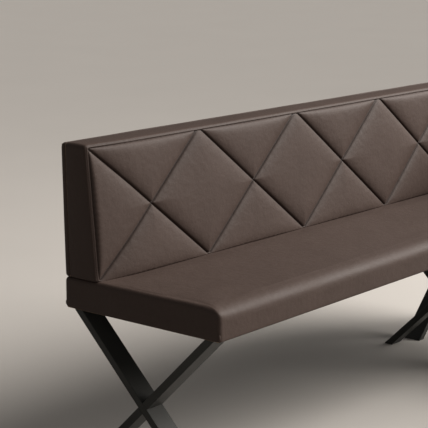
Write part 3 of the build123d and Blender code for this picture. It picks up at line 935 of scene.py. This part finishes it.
def on_front(plan, height):
    """Wing points from places on the seam plane and heights in front of it."""
    slant, run = front_slant()
    back, up = run / slant, BACK_RISE / slant
    height = height - end_recess(plan[:, 0], plan[:, 1] / slant)
    points = np.empty((len(plan), 3))
    points[:, 0] = plan[:, 0]
    points[:, 1] = -sizes().back_foot + back * plan[:, 1] - up * height
    points[:, 2] = BACK_BOTTOM + up * plan[:, 1] + back * height
    return points


def fading(distance, reach):
    """1 at a seam, fading away over a reach."""
    return np.exp(-distance / reach)


def slot(distance, width):
    """1 at a seam, with a narrow rounded section."""
    return np.exp(-((distance / width) ** 2))


def quilt_height(plan, lines, swell, limits):
    """Height of the quilted leather in front of the seam plane."""
    near, low, high = limits
    seam = seam_distance(plan, lines)
    edge = np.minimum(high - plan[:, 1], (plan[:, 0] - near) * END_STEEPNESS)
    edge = np.maximum(edge, 0.0)
    foot = np.maximum(plan[:, 1] - low, 0.0)
    roll = sum(share * (1 - fading(seam, reach)) for share, reach in PANEL_ROLLS)
    tuck = (1 - fading(edge, EDGE_REACH)) * (1 - 0.5 * fading(foot, FOOT_REACH))
    (slope_share, slope), (slot_share, width) = GROOVES
    groove = slope_share * fading(seam, slope) + slot_share * slot(seam, width)
    rim = slot(edge, RIM_WIDTH)
    height = sizes().crest * ((1 - SWELL_SHARE) * roll + SWELL_SHARE * swell) * tuck
    return height - sizes().valley * groove * (1 - 0.5 * rim) - RIM_DEPTH * rim


def simulated_swell(wing, made, net, marks, limits):
    """Share of the full swell from the cloth simulation: its lift in front of the seams."""
    near, low, high = limits
    plan = net[:, :2]
    on_edge = (plan[:, 1] <= low + 0.01) | (plan[:, 1] >= high - 0.01)
    on_edge |= (plan[:, 0] <= near + 0.01) | (plan[:, 0] >= marks[-1] - 0.01)
    flat = wing.place(on_front(plan, np.zeros(len(plan))))
    inflate(made, (net[:, 2] > 0.5) | on_edge)
    corner = np.zeros((2, 2))
    start, ahead = wing.place(on_front(corner, np.array([0.0, 1.0])))
    lift = (read_vectors(made, "co") - flat) @ unit(ahead - start) / MM
    peak = max(np.percentile(lift, 97), 1e-3)
    swell = 1 - np.exp(-2.2 * np.clip(lift / peak, 0.0, None))
    return swell / max(swell.max(), 1e-6)


def quilted_front(wing):
    """Quilted leather pad of one backrest, sewn down along its diagonals."""
    near, low = BOXING_LIP[0] - 1.2, 0.1
    high = front_slant()[0] - sizes().top_seam_drop
    limits = (near, low, high)
    marks = stations(wing.corner)
    marks[0] = near
    net, faces = quilt_net(marks, low, high)
    lines = sewn_lines(marks, low, high)
    plan = net[:, :2]
    made = make_piece(
        wing, f"{wing.name}_quilted_leather_front", on_front(plan, np.zeros(len(plan))), faces,
        finish("leather_quilted", leather),
    )
    swell = simulated_swell(wing, made, net, marks, limits)
    write_points(made, wing.place(np.column_stack((plan[:, 0], swell * STRETCH, plan[:, 1]))))
    subdivide_creased(made, net[:, 2] > 0.5)
    finer = back_to_wing(wing, read_vectors(made, "co"))
    plan = np.column_stack((finer[:, 0], np.clip(finer[:, 2], low, high)))
    swell = np.clip(finer[:, 1] / STRETCH, 0.0, 1.2)
    height = quilt_height(plan, lines, swell, limits)
    places = wing.place(on_front(plan, height))
    seam = seam_distance(plan, lines)
    beside_seam = fading(seam, 30.0) * smoothstep(2.0, 9.0, seam)
    for waves, where in ((LONG_WAVES, smoothstep(8.0, 60.0, seam)), (PUCKERS, beside_seam)):
        scale, seed, amount = waves
        height += amount * ripple(places, scale, seed) * where
    write_points(made, wing.place(on_front(plan, height)))
    # Painted shade for the leather: dark in the sewn lines and along the top and end seams, softer
    # beside each sewn line.
    edge = np.maximum(np.minimum(high - plan[:, 1], plan[:, 0] - near), 0.0)
    painted_fold_shade = np.maximum(slot(seam, 2.2), 0.8 * slot(edge, 2.0))
    amount, reach = SLOPE_SHADE
    write_fold_shade(made, np.maximum(painted_fold_shade, amount * fading(seam, reach)))
    start, behind = wing.place(np.array([[0.0, 0.0, 0.0], [0.0, 1.0, 0.0]]))
    close_pad(made, wing.end, Vector(behind - start).normalized() * (PAD_DEPTH * MM))
    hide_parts(f"{wing.name}_back_quilted_front", f"{wing.name}_back_foam")
    quilting_stitches(wing, lines, limits)


def quilting_stitches(wing, lines, limits):
    """Stitches along the sewn diagonals, clear of the seams and of the corner."""
    near, low, high = limits
    clear = 6
    end_place, end_normal = wing.end
    courses = []
    for start, end in lines:
        steps = np.linspace(0.0, 1.0, 140)[:, None]
        course = start * (1 - steps) + end * steps
        inside = (course[:, 0] > near + clear) & (course[:, 1] > low + clear)
        course = course[inside & (course[:, 1] < high - clear)]
        places = wing.place(on_front(course, np.zeros(len(course))))
        kept = [(Vector(place) - end_place).dot(end_normal) < -4 * MM for place in places]
        course = course[np.array(kept)]
        if len(course) < 3:
            continue
        height = quilt_height(course, lines, np.zeros(len(course)), limits)
        spots = on_front(course, height + 0.3)
        outs = on_front(course, height + 1.3) - spots
        courses.append(list(zip(spots, outs)))
    thread = stitch_row(wing, f"{wing.name}_quilting_thread", courses)


# Rounded forms built from rings around a rectangle. A corner radius may be one number, or
# one for the foot and one for the top; insets are (free end, far end, foot, top).


def ticks(length, step, edge):
    """Places from 0 to length, close together near both ends."""
    ends = [edge * share for share in (0.0, 0.18, 0.42, 0.7, 1.0, 1.6, 2.4)]
    middle = length - 2 * ends[-1]
    count = max(1, round(middle / step))
    inner = [ends[-1] + middle * index / count for index in range(1, count)]
    return np.array(ends + inner + [length - value for value in reversed(ends)])


def rounded(a, b, width, height, corner, inset):
    """Point of a rectangle drawn in by insets, with its corners rounded."""
    near, far, low, high = inset
    a = near + a / width * (width - near - far)
    b = low + b / height * (height - low - high)
    if isinstance(corner, tuple):
        corner = corner[0] if b < height / 2 else corner[1]
    if corner <= 0:
        return a, b
    centre_a = min(max(a, near + corner), width - far - corner)
    centre_b = min(max(b, low + corner), height - high - corner)
    da, db = a - centre_a, b - centre_b
    if abs(da) > 1e-9 and abs(db) > 1e-9:
        size = math.hypot(da, db)
        return centre_a + da / size * corner, centre_b + db / size * corner
    return a, b


def perimeter(columns, rows):
    """Grid indices around the rim, counter-clockwise."""
    last_column = len(columns) - 1
    last_row = len(rows) - 1
    rim = [(i, 0) for i in range(last_column)]
    rim += [(last_column, j) for j in range(last_row)]
    rim += [(i, last_row) for i in range(last_column, 0, -1)]
    rim += [(0, j) for j in range(last_row, 0, -1)]
    return rim


def side_values(columns, rows, values, reach=40.0):
    """Value at each rim point from one value per side, blended at the corners."""
    near, far, low, high = values
    width, height = columns[-1], rows[-1]
    found = []
    for i, j in perimeter(columns, rows):
        a, b = columns[i], rows[j]
        if j == 0 or j == len(rows) - 1:
            own = low if j == 0 else high
            other = near if a < width / 2 else far
            gap = min(a, width - a)
        else:
            own = near if i == 0 else far
            other = low if b < height / 2 else high
            gap = min(b, height - b)
        share = 0.5 + 0.5 * float(smoothstep(0.0, reach, gap))
        found.append(own * share + other * (1 - share))
    return np.array(found)


def ring_points(columns, rows, corner, inset):
    """Rim points of a rounded rectangle."""
    width, height = columns[-1], rows[-1]
    rim = perimeter(columns, rows)
    return np.array([rounded(columns[i], rows[j], width, height, corner, inset) for i, j in rim])


def quarter_turn(angle):
    """Shares of a rounding at an angle: how far inward and how far over."""
    angle = math.radians(angle)
    return 1 - math.cos(angle), 1 - math.sin(angle)


def band_faces(first, second, count):
    """Quads between two closed rings of count points."""
    faces = []
    for k in range(count):
        following = (k + 1) % count
        faces.append((first + k, first + following, second + following, second + k))
    return faces


def grid_faces(grid, columns, rows, turned=False):
    """Quads of a grid of point numbers; turned ones face the other way."""
    faces = []
    for i in range(len(columns) - 1):
        for j in range(len(rows) - 1):
            corners = [(i, j), (i + 1, j), (i + 1, j + 1), (i, j + 1)]
            if turned:
                corners = [corners[0]] + corners[:0:-1]
            faces.append(tuple(grid[corner] for corner in corners))
    return faces


# Seats

SEAT_ROLLS = (12.0, 12.0, 44.0, 12.0)  # how far each top edge rolls inward; foot is the front
SEAT_DROPS = (12.0, 12.0, 29.0, 12.0)  # how far each top edge rolls down
SEAT_FEET = (5.0, 5.0, 5.0, 13.0)  # rounding of the lower edges
SEAT_CORNER = 11.0
HEM = 26.5  # how far the leather is folded under the board
EDGE_SWELL = 1.3  # swell next to the rolls; it grows to the full swell over SWELL_REACH
SWELL_REACH = 110.0
BACK_CLEAR = 60.0  # in front of the backrest, over which the cushion comes free


def seat_rings(columns, rows):
    """Rings of a seat cushion from its top edge to its inside, as (plan, heights, kind)."""
    top, foot = SEAT_TOP, UNDERSIDE
    skin = sizes().skin
    outer = ring_points(columns, rows, SEAT_CORNER, (0, 0, 0, 0))
    inner = ring_points(columns, rows, 0, SEAT_ROLLS)
    foot_inner = ring_points(columns, rows, 0, SEAT_FEET)
    drop = side_values(columns, rows, SEAT_DROPS)
    foot_roll = side_values(columns, rows, SEAT_FEET)
    wall_top, wall_foot = top - drop, foot + foot_roll
    rings = []
    for angle in (18, 36, 54, 72, 90):
        down, left = quarter_turn(angle)
        rings.append((inner + (outer - inner) * (1 - left), top - drop * down, "roll"))
    for share in (0.2, 0.4, 0.6, 0.8, 1.0):
        rings.append((outer, wall_top + (wall_foot - wall_top) * share, "wall"))
    for angle in (30, 60, 90):
        inward, left = quarter_turn(angle)
        plan = outer + (foot_inner - outer) * inward
        rings.append((plan, wall_foot - foot_roll * (1 - left), "foot"))
    under, over = foot, foot + skin
    for inset, z in ((14.0, under), (HEM, under), (HEM, over), (14.0, over), (skin, over)):
        plan = ring_points(columns, rows, 0, (inset,) * 4)
        rings.append((plan, np.full(len(plan), z), "hem"))
    rings.append((plan, np.full(len(plan), over + BOARD_THICKNESS), "board"))
    return rings


def seat_form(length, columns, rows):
    """Points, their kinds and the faces of a closed seat cushion."""
    points, kinds, faces = [], [], []
    rim = perimeter(columns, rows)
    count = len(rim)

    def add(plan, heights, kind):
        for (a, b), z in zip(plan, heights):
            points.append((a, b - SEAT_DEPTH, z))
            kinds.append(kind)

    def grid(inset, z, kind, known):
        found = dict(known)
        for i, a in enumerate(columns):
            for j, b in enumerate(rows):
                if (i, j) not in found:
                    found[(i, j)] = len(points)
                    add([rounded(a, b, length, SEAT_DEPTH, 0, inset)], [z], kind)
        return found

    upper = grid(SEAT_ROLLS, SEAT_TOP, "top", {})
    faces += grid_faces(upper, columns, rows)
    previous = [upper[index] for index in rim]
    for plan, heights, kind in seat_rings(columns, rows):
        base = len(points)
        add(plan, heights, kind)
        for k in range(count):
            following = (k + 1) % count
            faces.append((previous[k], base + k, base + following, previous[following]))
        previous = [base + k for k in range(count)]
    board = dict(zip(rim, previous))
    skin = sizes().skin
    inside = grid((skin,) * 4, UNDERSIDE + skin + BOARD_THICKNESS, "board", board)
    faces += grid_faces(inside, columns, rows, turned=True)
    return np.array(points), np.array(kinds), faces


def seat_cushion(wing):
    """Closed seat cushion: leather over foam, folded under the board."""
    length = wing.seat_length
    columns = ticks(length, 20.0, 12.0)
    rows = ticks(SEAT_DEPTH, 14.0, 12.0)
    points, kinds, faces = seat_form(length, columns, rows)
    made = make_piece(
        wing, f"{wing.name}_seat_cushion", points, faces, finish("leather_seat", leather)
    )
    rest = read_vectors(made, "co")
    normals = read_vectors(made, "normal")
    x, y = points[:, 0], points[:, 1]
    back = sizes().back_foot
    held = np.isin(kinds, ("hem", "board", "foot")) | (y > -(back + 6))
    free = smoothstep(0.0, BACK_CLEAR, -(back + 4) - y)
    free = free * np.isin(kinds, ("top", "roll", "wall"))
    free = free * (1 - 0.75 * smoothstep(wing.seat_joint - 40.0, wing.seat_joint + 10.0, x))
    near, far, front, _ = SEAT_ROLLS
    inland = np.minimum(np.minimum(x - near, length - far - x), y + SEAT_DEPTH - front)
    rise = smoothstep(0.0, SWELL_REACH, np.maximum(inland, 0.0))
    limit = EDGE_SWELL + (sizes().seat_swell - EDGE_SWELL) * rise
    inflate(made, held)
    moved = read_vectors(made, "co")
    lift = np.clip(np.einsum("ij,ij->i", moved - rest, normals) / MM, 0.0, None)
    lift = limit * (1 - np.exp(-lift / limit)) * np.where(held, 0.0, free)
    wave = ripple(rest, 190.0, 7) * 0.8 + ripple(rest, 60.0, 9) * 0.22
    write_points(made, rest + normals * ((lift + wave * free) * MM)[:, None])
    subdivide(made)
    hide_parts(f"{wing.name}_seat_cover", f"{wing.name}_seat_foam")


# Backrest boxings and rear covers

BACK_CORNER = (4.0, 10.0)
TUCKED_CORNER = (3.0, 8.0)
REAR_ROLLS = (12.0, 10.0, 16.0, 15.0)
LIP_ANGLES = (76, 64, 55, 48, 41, 28, 14, 0)  # rings of the rounding behind the front seam
TOPSTITCH_ANGLE = 55
TOPSTITCH_DEPTH = 0.55
END_BULGE = 1.3


def back_outlines(columns, rows):
    """Outlines of a backrest: its full size, just under it, and tucked into the rear seam."""
    outer = ring_points(columns, rows, BACK_CORNER, (0, 0, 0, 0))
    slightly = ring_points(columns, rows, BACK_CORNER, (0.7,) * 4)
    tucked = ring_points(columns, rows, TUCKED_CORNER, (1.4,) * 4)
    return outer, slightly, tucked


def back_form(wing, plan, from_front=None, from_rear=None):
    """Wing points of ring points (along the wing, up the backrest) at a depth."""
    points = np.empty((len(plan), 3))
    z = BACK_BOTTOM + plan[:, 1]
    lean = wing.lean * plan[:, 1] / BACK_RISE
    points[:, 0] = plan[:, 0] + lean * np.clip(plan[:, 0] / wing.length, 0, 1)
    if from_front is not None:
        recess = end_recess(plan[:, 0], plan[:, 1] / BACK_RISE)
        points[:, 1] = front_y(z) + recess + from_front
    else:
        points[:, 1] = rear_y(z) - from_rear
    points[:, 2] = z
    return points


def boxing_rings(wing, columns, rows):
    """Rings of a boxing from the front seam round to the rear seam, and its topstitch ring."""
    drop, rear_seam = sizes().top_seam_drop, sizes().rear_seam
    lip = (BOXING_LIP[0], 3.4, 2.0, drop)
    outer, slightly, tucked = back_outlines(columns, rows)
    seam = ring_points(columns, rows, 2.0, lip)
    deeper = ring_points(columns, rows, 1.0, tuple(value + 1.5 for value in lip))
    lip_depth = side_values(columns, rows, (BOXING_LIP[1], 8.0, 6.0, drop), reach=14.0)
    away = outer - ring_points(columns, rows, (3.0, 9.0), (1.0,) * 4)
    at_end = np.clip(-away[:, 0], 0.0, 1.0) ** 2
    hidden = ((deeper, 7.0), (deeper, 1.6), (seam, 0.0))
    rings = [back_form(wing, plan, depth) for plan, depth in hidden]
    for angle in LIP_ANGLES:
        inward, back = quarter_turn(angle)
        rings.append(back_form(wing, outer + (seam - outer) * inward, lip_depth * back))
        if angle == TOPSTITCH_ANGLE:
            rings[-1][:, :2] += TOPSTITCH_DEPTH * at_end[:, None]
    start = back_form(wing, outer, lip_depth)[:, 1]
    stop = rear_y(BACK_BOTTOM + outer[:, 1]) - rear_seam - 1.2
    above_foot = np.where(outer[:, 1] < 20, 0.0, 1.0)
    for share in (0.08, 0.2, 0.36, 0.52, 0.68, 0.84, 0.95):
        ring = back_form(wing, outer, 0.0)
        bulge = END_BULGE * math.sin(math.pi * share)
        ring[:, 1] = start + (stop - start) * share
        ring[:, 0] += away[:, 0] * bulge
        ring[:, 2] += away[:, 1] * bulge * above_foot
        rings.append(ring)
    for plan, depth in ((slightly, 0.5), (tucked, 0.2), (tucked, 8)):
        rings.append(back_form(wing, plan, from_rear=rear_seam + depth))
    return rings, at_end


def boxing(wing):
    """Leather band around a backrest, from the front seam to the rear seam."""
    columns = ticks(wing.length, 24.0, 10.0)
    rows = ticks(BACK_RISE, 16.0, 10.0)
    rings, at_end = boxing_rings(wing, columns, rows)
    count = len(rings[0])
    faces = []
    for index in range(len(rings)):
        following = (index + 1) % len(rings)
        faces += band_faces(index * count, following * count, count)
    made = make_piece(
        wing, f"{wing.name}_leather_boxing", np.vstack(rings), faces,
        finish("leather_boxing", leather),
    )
    # Painted shade for the leather: a dark line along the front seam and, at the free end, along
    # the topstitch groove.
    seam_ring, topstitch_ring = 2, 3 + LIP_ANGLES.index(TOPSTITCH_ANGLE)
    painted_fold_shade = np.zeros((len(rings), count))
    painted_fold_shade[seam_ring] = 0.75
    painted_fold_shade[topstitch_ring] = 0.7 * at_end
    write_fold_shade(made, painted_fold_shade.ravel())
    make_wavy(made, 110.0, 11, 0.5)
    if wing.cut is not None:
        trim(made, wing.cut)
    subdivide(made)
    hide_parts(f"{wing.name}_back_boxing")
    top_stitches(wing, rings[topstitch_ring])


def top_stitches(wing, ring):
    """Row of stitches on the free end, a little behind the front seam."""
    outward = np.array([-0.7, -0.7, 0.0])
    heights = ring[:, 2] - BACK_BOTTOM
    reach = ring[:, 0] < BOXING_LIP[0] * quarter_turn(TOPSTITCH_ANGLE)[0] + 1.0
    middle = (heights > 14) & (heights < BACK_RISE - 14)
    spots = ring[reach & middle] + outward * 0.25
    spots = spots[np.argsort(spots[:, 2])]
    course = [(spot, outward) for spot in spots]
    thread = stitch_row(wing, f"{wing.name}_topstitch_thread", [course])


def rear_cover(wing):
    """Leather rear of a backrest, rounded forward to the rear seam."""
    columns = ticks(wing.length, 40.0, 12.0)
    rows = ticks(BACK_RISE, 30.0, 12.0)
    seam = sizes().rear_seam
    outer, slightly, tucked = back_outlines(columns, rows)
    inner = ring_points(columns, rows, 0, REAR_ROLLS)
    roll = side_values(columns, rows, REAR_ROLLS)
    rings = [(tucked, seam - 0.2), (slightly, seam - 0.5), (outer, seam - 1.6)]
    for angle in (0, 18, 36, 54, 72, 90):
        inward, back = quarter_turn(angle)
        rings.append((outer + (inner - outer) * inward, np.minimum(roll * back, seam - 2)))
    count = len(outer)
    points = [point for plan, depth in rings for point in back_form(wing, plan, from_rear=depth)]
    faces = []
    for index in range(len(rings) - 1):
        faces += band_faces(index * count, (index + 1) * count, count)

    def cap(rim_base, inset, depth):
        grid = {key: rim_base + k for k, key in enumerate(perimeter(columns, rows))}
        plan = []
        for i, a in enumerate(columns):
            for j, b in enumerate(rows):
                if (i, j) not in grid:
                    grid[(i, j)] = len(points) + len(plan)
                    plan.append(rounded(a, b, wing.length, BACK_RISE, 0, inset))
        points.extend(back_form(wing, np.array(plan), from_rear=depth))
        return grid

    faces += grid_faces(cap((len(rings) - 1) * count, REAR_ROLLS, 0.0), columns, rows)
    faces += grid_faces(cap(0, (4.0,) * 4, seam - 0.2), columns, rows, turned=True)
    made = make_piece(
        wing, f"{wing.name}_leather_rear_cover", np.array(points), faces,
        finish("leather_rear", leather, mottling=6.0),
    )
    make_wavy(made, 160.0, 15, 0.6)
    if wing.cut is not None:
        trim(made, wing.cut)
    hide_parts(f"{wing.name}_back_rear_cover")


# Stage

FLOOR_SIZE = 60  # metres
CAMERA_PLACE = (-2500.0, -2564.5, 1392.0)
CAMERA_TILT = 11.583  # degrees below level
CAMERA_TURN = -50.352
LENS = 121.84
PICTURE_WIDTH = 428
LAMP_COLOUR = (1.0, 0.965, 0.925)
WINDOW_COURSE = (-0.58, 0.57, -0.58)
WINDOW_SOFTNESS = 44  # degrees
WINDOW_STRENGTH = 3.1
PANEL_PLACE = (3500, -1400, 2450)
PANEL_AIM = (1200, -200, 800)
PANEL_SIZE = 2.0  # metres
PANEL_POWER = 96.0
AMBIENT_COLOUR = (1.0, 0.97, 0.94, 1)
AMBIENT_STRENGTH = 0.14


def add_lamp(name, kind, energy, course):
    """Lamp that shines along a course."""
    light = bpy.data.lights.new(name, kind)
    light.energy = energy
    light.color = LAMP_COLOUR
    lamp = bpy.data.objects.new(name, light)
    bpy.context.scene.collection.objects.link(lamp)
    lamp.rotation_euler = course.to_track_quat("-Z", "Y").to_euler()
    return lamp


# Operators


class BENCH_OT_stage(bpy.types.Operator):
    """Lay the floor, light the bench and set up the camera"""

    bl_idname = "bench.stage"
    bl_label = "Stage"

    def execute(self, context):
        scene = context.scene
        bpy.ops.mesh.primitive_plane_add(size=FLOOR_SIZE)
        floor = context.object
        floor.name = "floor"
        floor.data.materials.append(finish("pale_floor", pale_floor))

        lens = bpy.data.cameras.new("camera")
        lens.sensor_width = 36
        lens.lens = LENS
        lens.shift_y = -1 / PICTURE_WIDTH
        lens.clip_end = 100
        camera = bpy.data.objects.new("camera", lens)
        camera.location = at_bench(*CAMERA_PLACE)
        camera.rotation_euler = (math.radians(90 - CAMERA_TILT), 0, math.radians(CAMERA_TURN))
        scene.collection.objects.link(camera)
        scene.camera = camera

        window = add_lamp("window", "SUN", WINDOW_STRENGTH, Vector(WINDOW_COURSE))
        window.data.angle = math.radians(WINDOW_SOFTNESS)
        place = at_bench(*PANEL_PLACE)
        panel = add_lamp("soft_panel", "AREA", PANEL_POWER, at_bench(*PANEL_AIM) - place)
        panel.data.size = PANEL_SIZE
        panel.location = place

        world = bpy.data.worlds.new("studio")
        world.use_nodes = True
        sky = world.node_tree.nodes["Background"]
        sky.inputs["Color"].default_value = AMBIENT_COLOUR
        sky.inputs["Strength"].default_value = AMBIENT_STRENGTH
        scene.world = world
        scene.view_settings.view_transform = "Standard"
        return {"FINISHED"}


class BENCH_OT_quilted_fronts(bpy.types.Operator):
    """Sew the quilted leather fronts of both backrests"""

    bl_idname = "bench.quilted_fronts"
    bl_label = "Quilted fronts"

    def execute(self, context):
        for wing in wings():
            quilted_front(wing)
        return {"FINISHED"}


class BENCH_OT_back_covers(bpy.types.Operator):
    """Cover the ends, tops and rears of both backrests"""

    bl_idname = "bench.back_covers"
    bl_label = "Boxings and rear covers"

    def execute(self, context):
        for wing in wings():
            boxing(wing)
        for wing in wings():
            rear_cover(wing)
        return {"FINISHED"}


class BENCH_OT_seats(bpy.types.Operator):
    """Upholster the two seats"""

    bl_idname = "bench.seats"
    bl_label = "Seats"

    def execute(self, context):
        for wing in wings():
            seat_cushion(wing)
        return {"FINISHED"}


# Words in the names of the solids and the finish that they get; the first match counts.
FINISHES = (
    (("insert", "screws", "bolt"), "zinc_plate", zinc_plate),
    (("frame_", "joint_plates"), "black_steel_satin", powder_coat),
    (("glides",), "black_glide_plastic", glide_plastic),
    (("dust_cover",), "black_dust_cloth", dust_cloth),
    (("board", "rail", "uprights"), "birch_plywood", birch_plywood),
    (("foam",), "cut_foam", cut_foam),
    (("cover", "boxing", "quilted"), "leather_plain_cover", leather),
)


class BENCH_OT_frames(bpy.types.Operator):
    """Finish the X frames, the timber and the fasteners"""

    bl_idname = "bench.frames"
    bl_label = "Frames and hidden parts"

    def execute(self, context):
        for name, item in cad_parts.items():
            material = next(
                finish(title, dress)
                for words, title, dress in FINISHES
                if any(word in name for word in words)
            )
            for holder in item.material_slots:
                holder.material = material
        return {"FINISHED"}


class BENCH_PT_panel(bpy.types.Panel):
    """Lists the bench's settings and steps"""

    bl_idname = "BENCH_PT_panel"
    bl_label = "Corner bench"
    bl_space_type = "VIEW_3D"
    bl_region_type = "UI"
    bl_category = "Corner bench"

    def draw(self, context):
        scene = context.scene
        for settings in (scene.bench_sizes, scene.bench_colours):
            for label in type(settings).__annotations__:
                self.layout.prop(settings, label)
        for operator in OPERATORS:
            self.layout.operator(operator.bl_idname)


OPERATORS = (
    BENCH_OT_stage,
    BENCH_OT_quilted_fronts,
    BENCH_OT_back_covers,
    BENCH_OT_seats,
    BENCH_OT_frames,
)
CLASSES = (BENCH_PG_sizes, BENCH_PG_colours) + OPERATORS + (BENCH_PT_panel,)


def register():
    """Make the settings, steps and panel known to Blender."""
    for item in CLASSES:
        bpy.utils.register_class(item)
    bpy.types.Scene.bench_sizes = bpy.props.PointerProperty(type=BENCH_PG_sizes)
    bpy.types.Scene.bench_colours = bpy.props.PointerProperty(type=BENCH_PG_colours)


def unregister():
    """Take back what register did."""
    del bpy.types.Scene.bench_colours
    del bpy.types.Scene.bench_sizes
    for item in reversed(CLASSES):
        bpy.utils.unregister_class(item)


def main():
    """Build the bench and its stage."""
    register()
    bpy.ops.bench.stage()
    bpy.ops.bench.quilted_fronts()
    bpy.ops.bench.back_covers()
    bpy.ops.bench.seats()
    bpy.ops.bench.frames()
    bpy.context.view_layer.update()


if __name__ == "__main__":
    main()
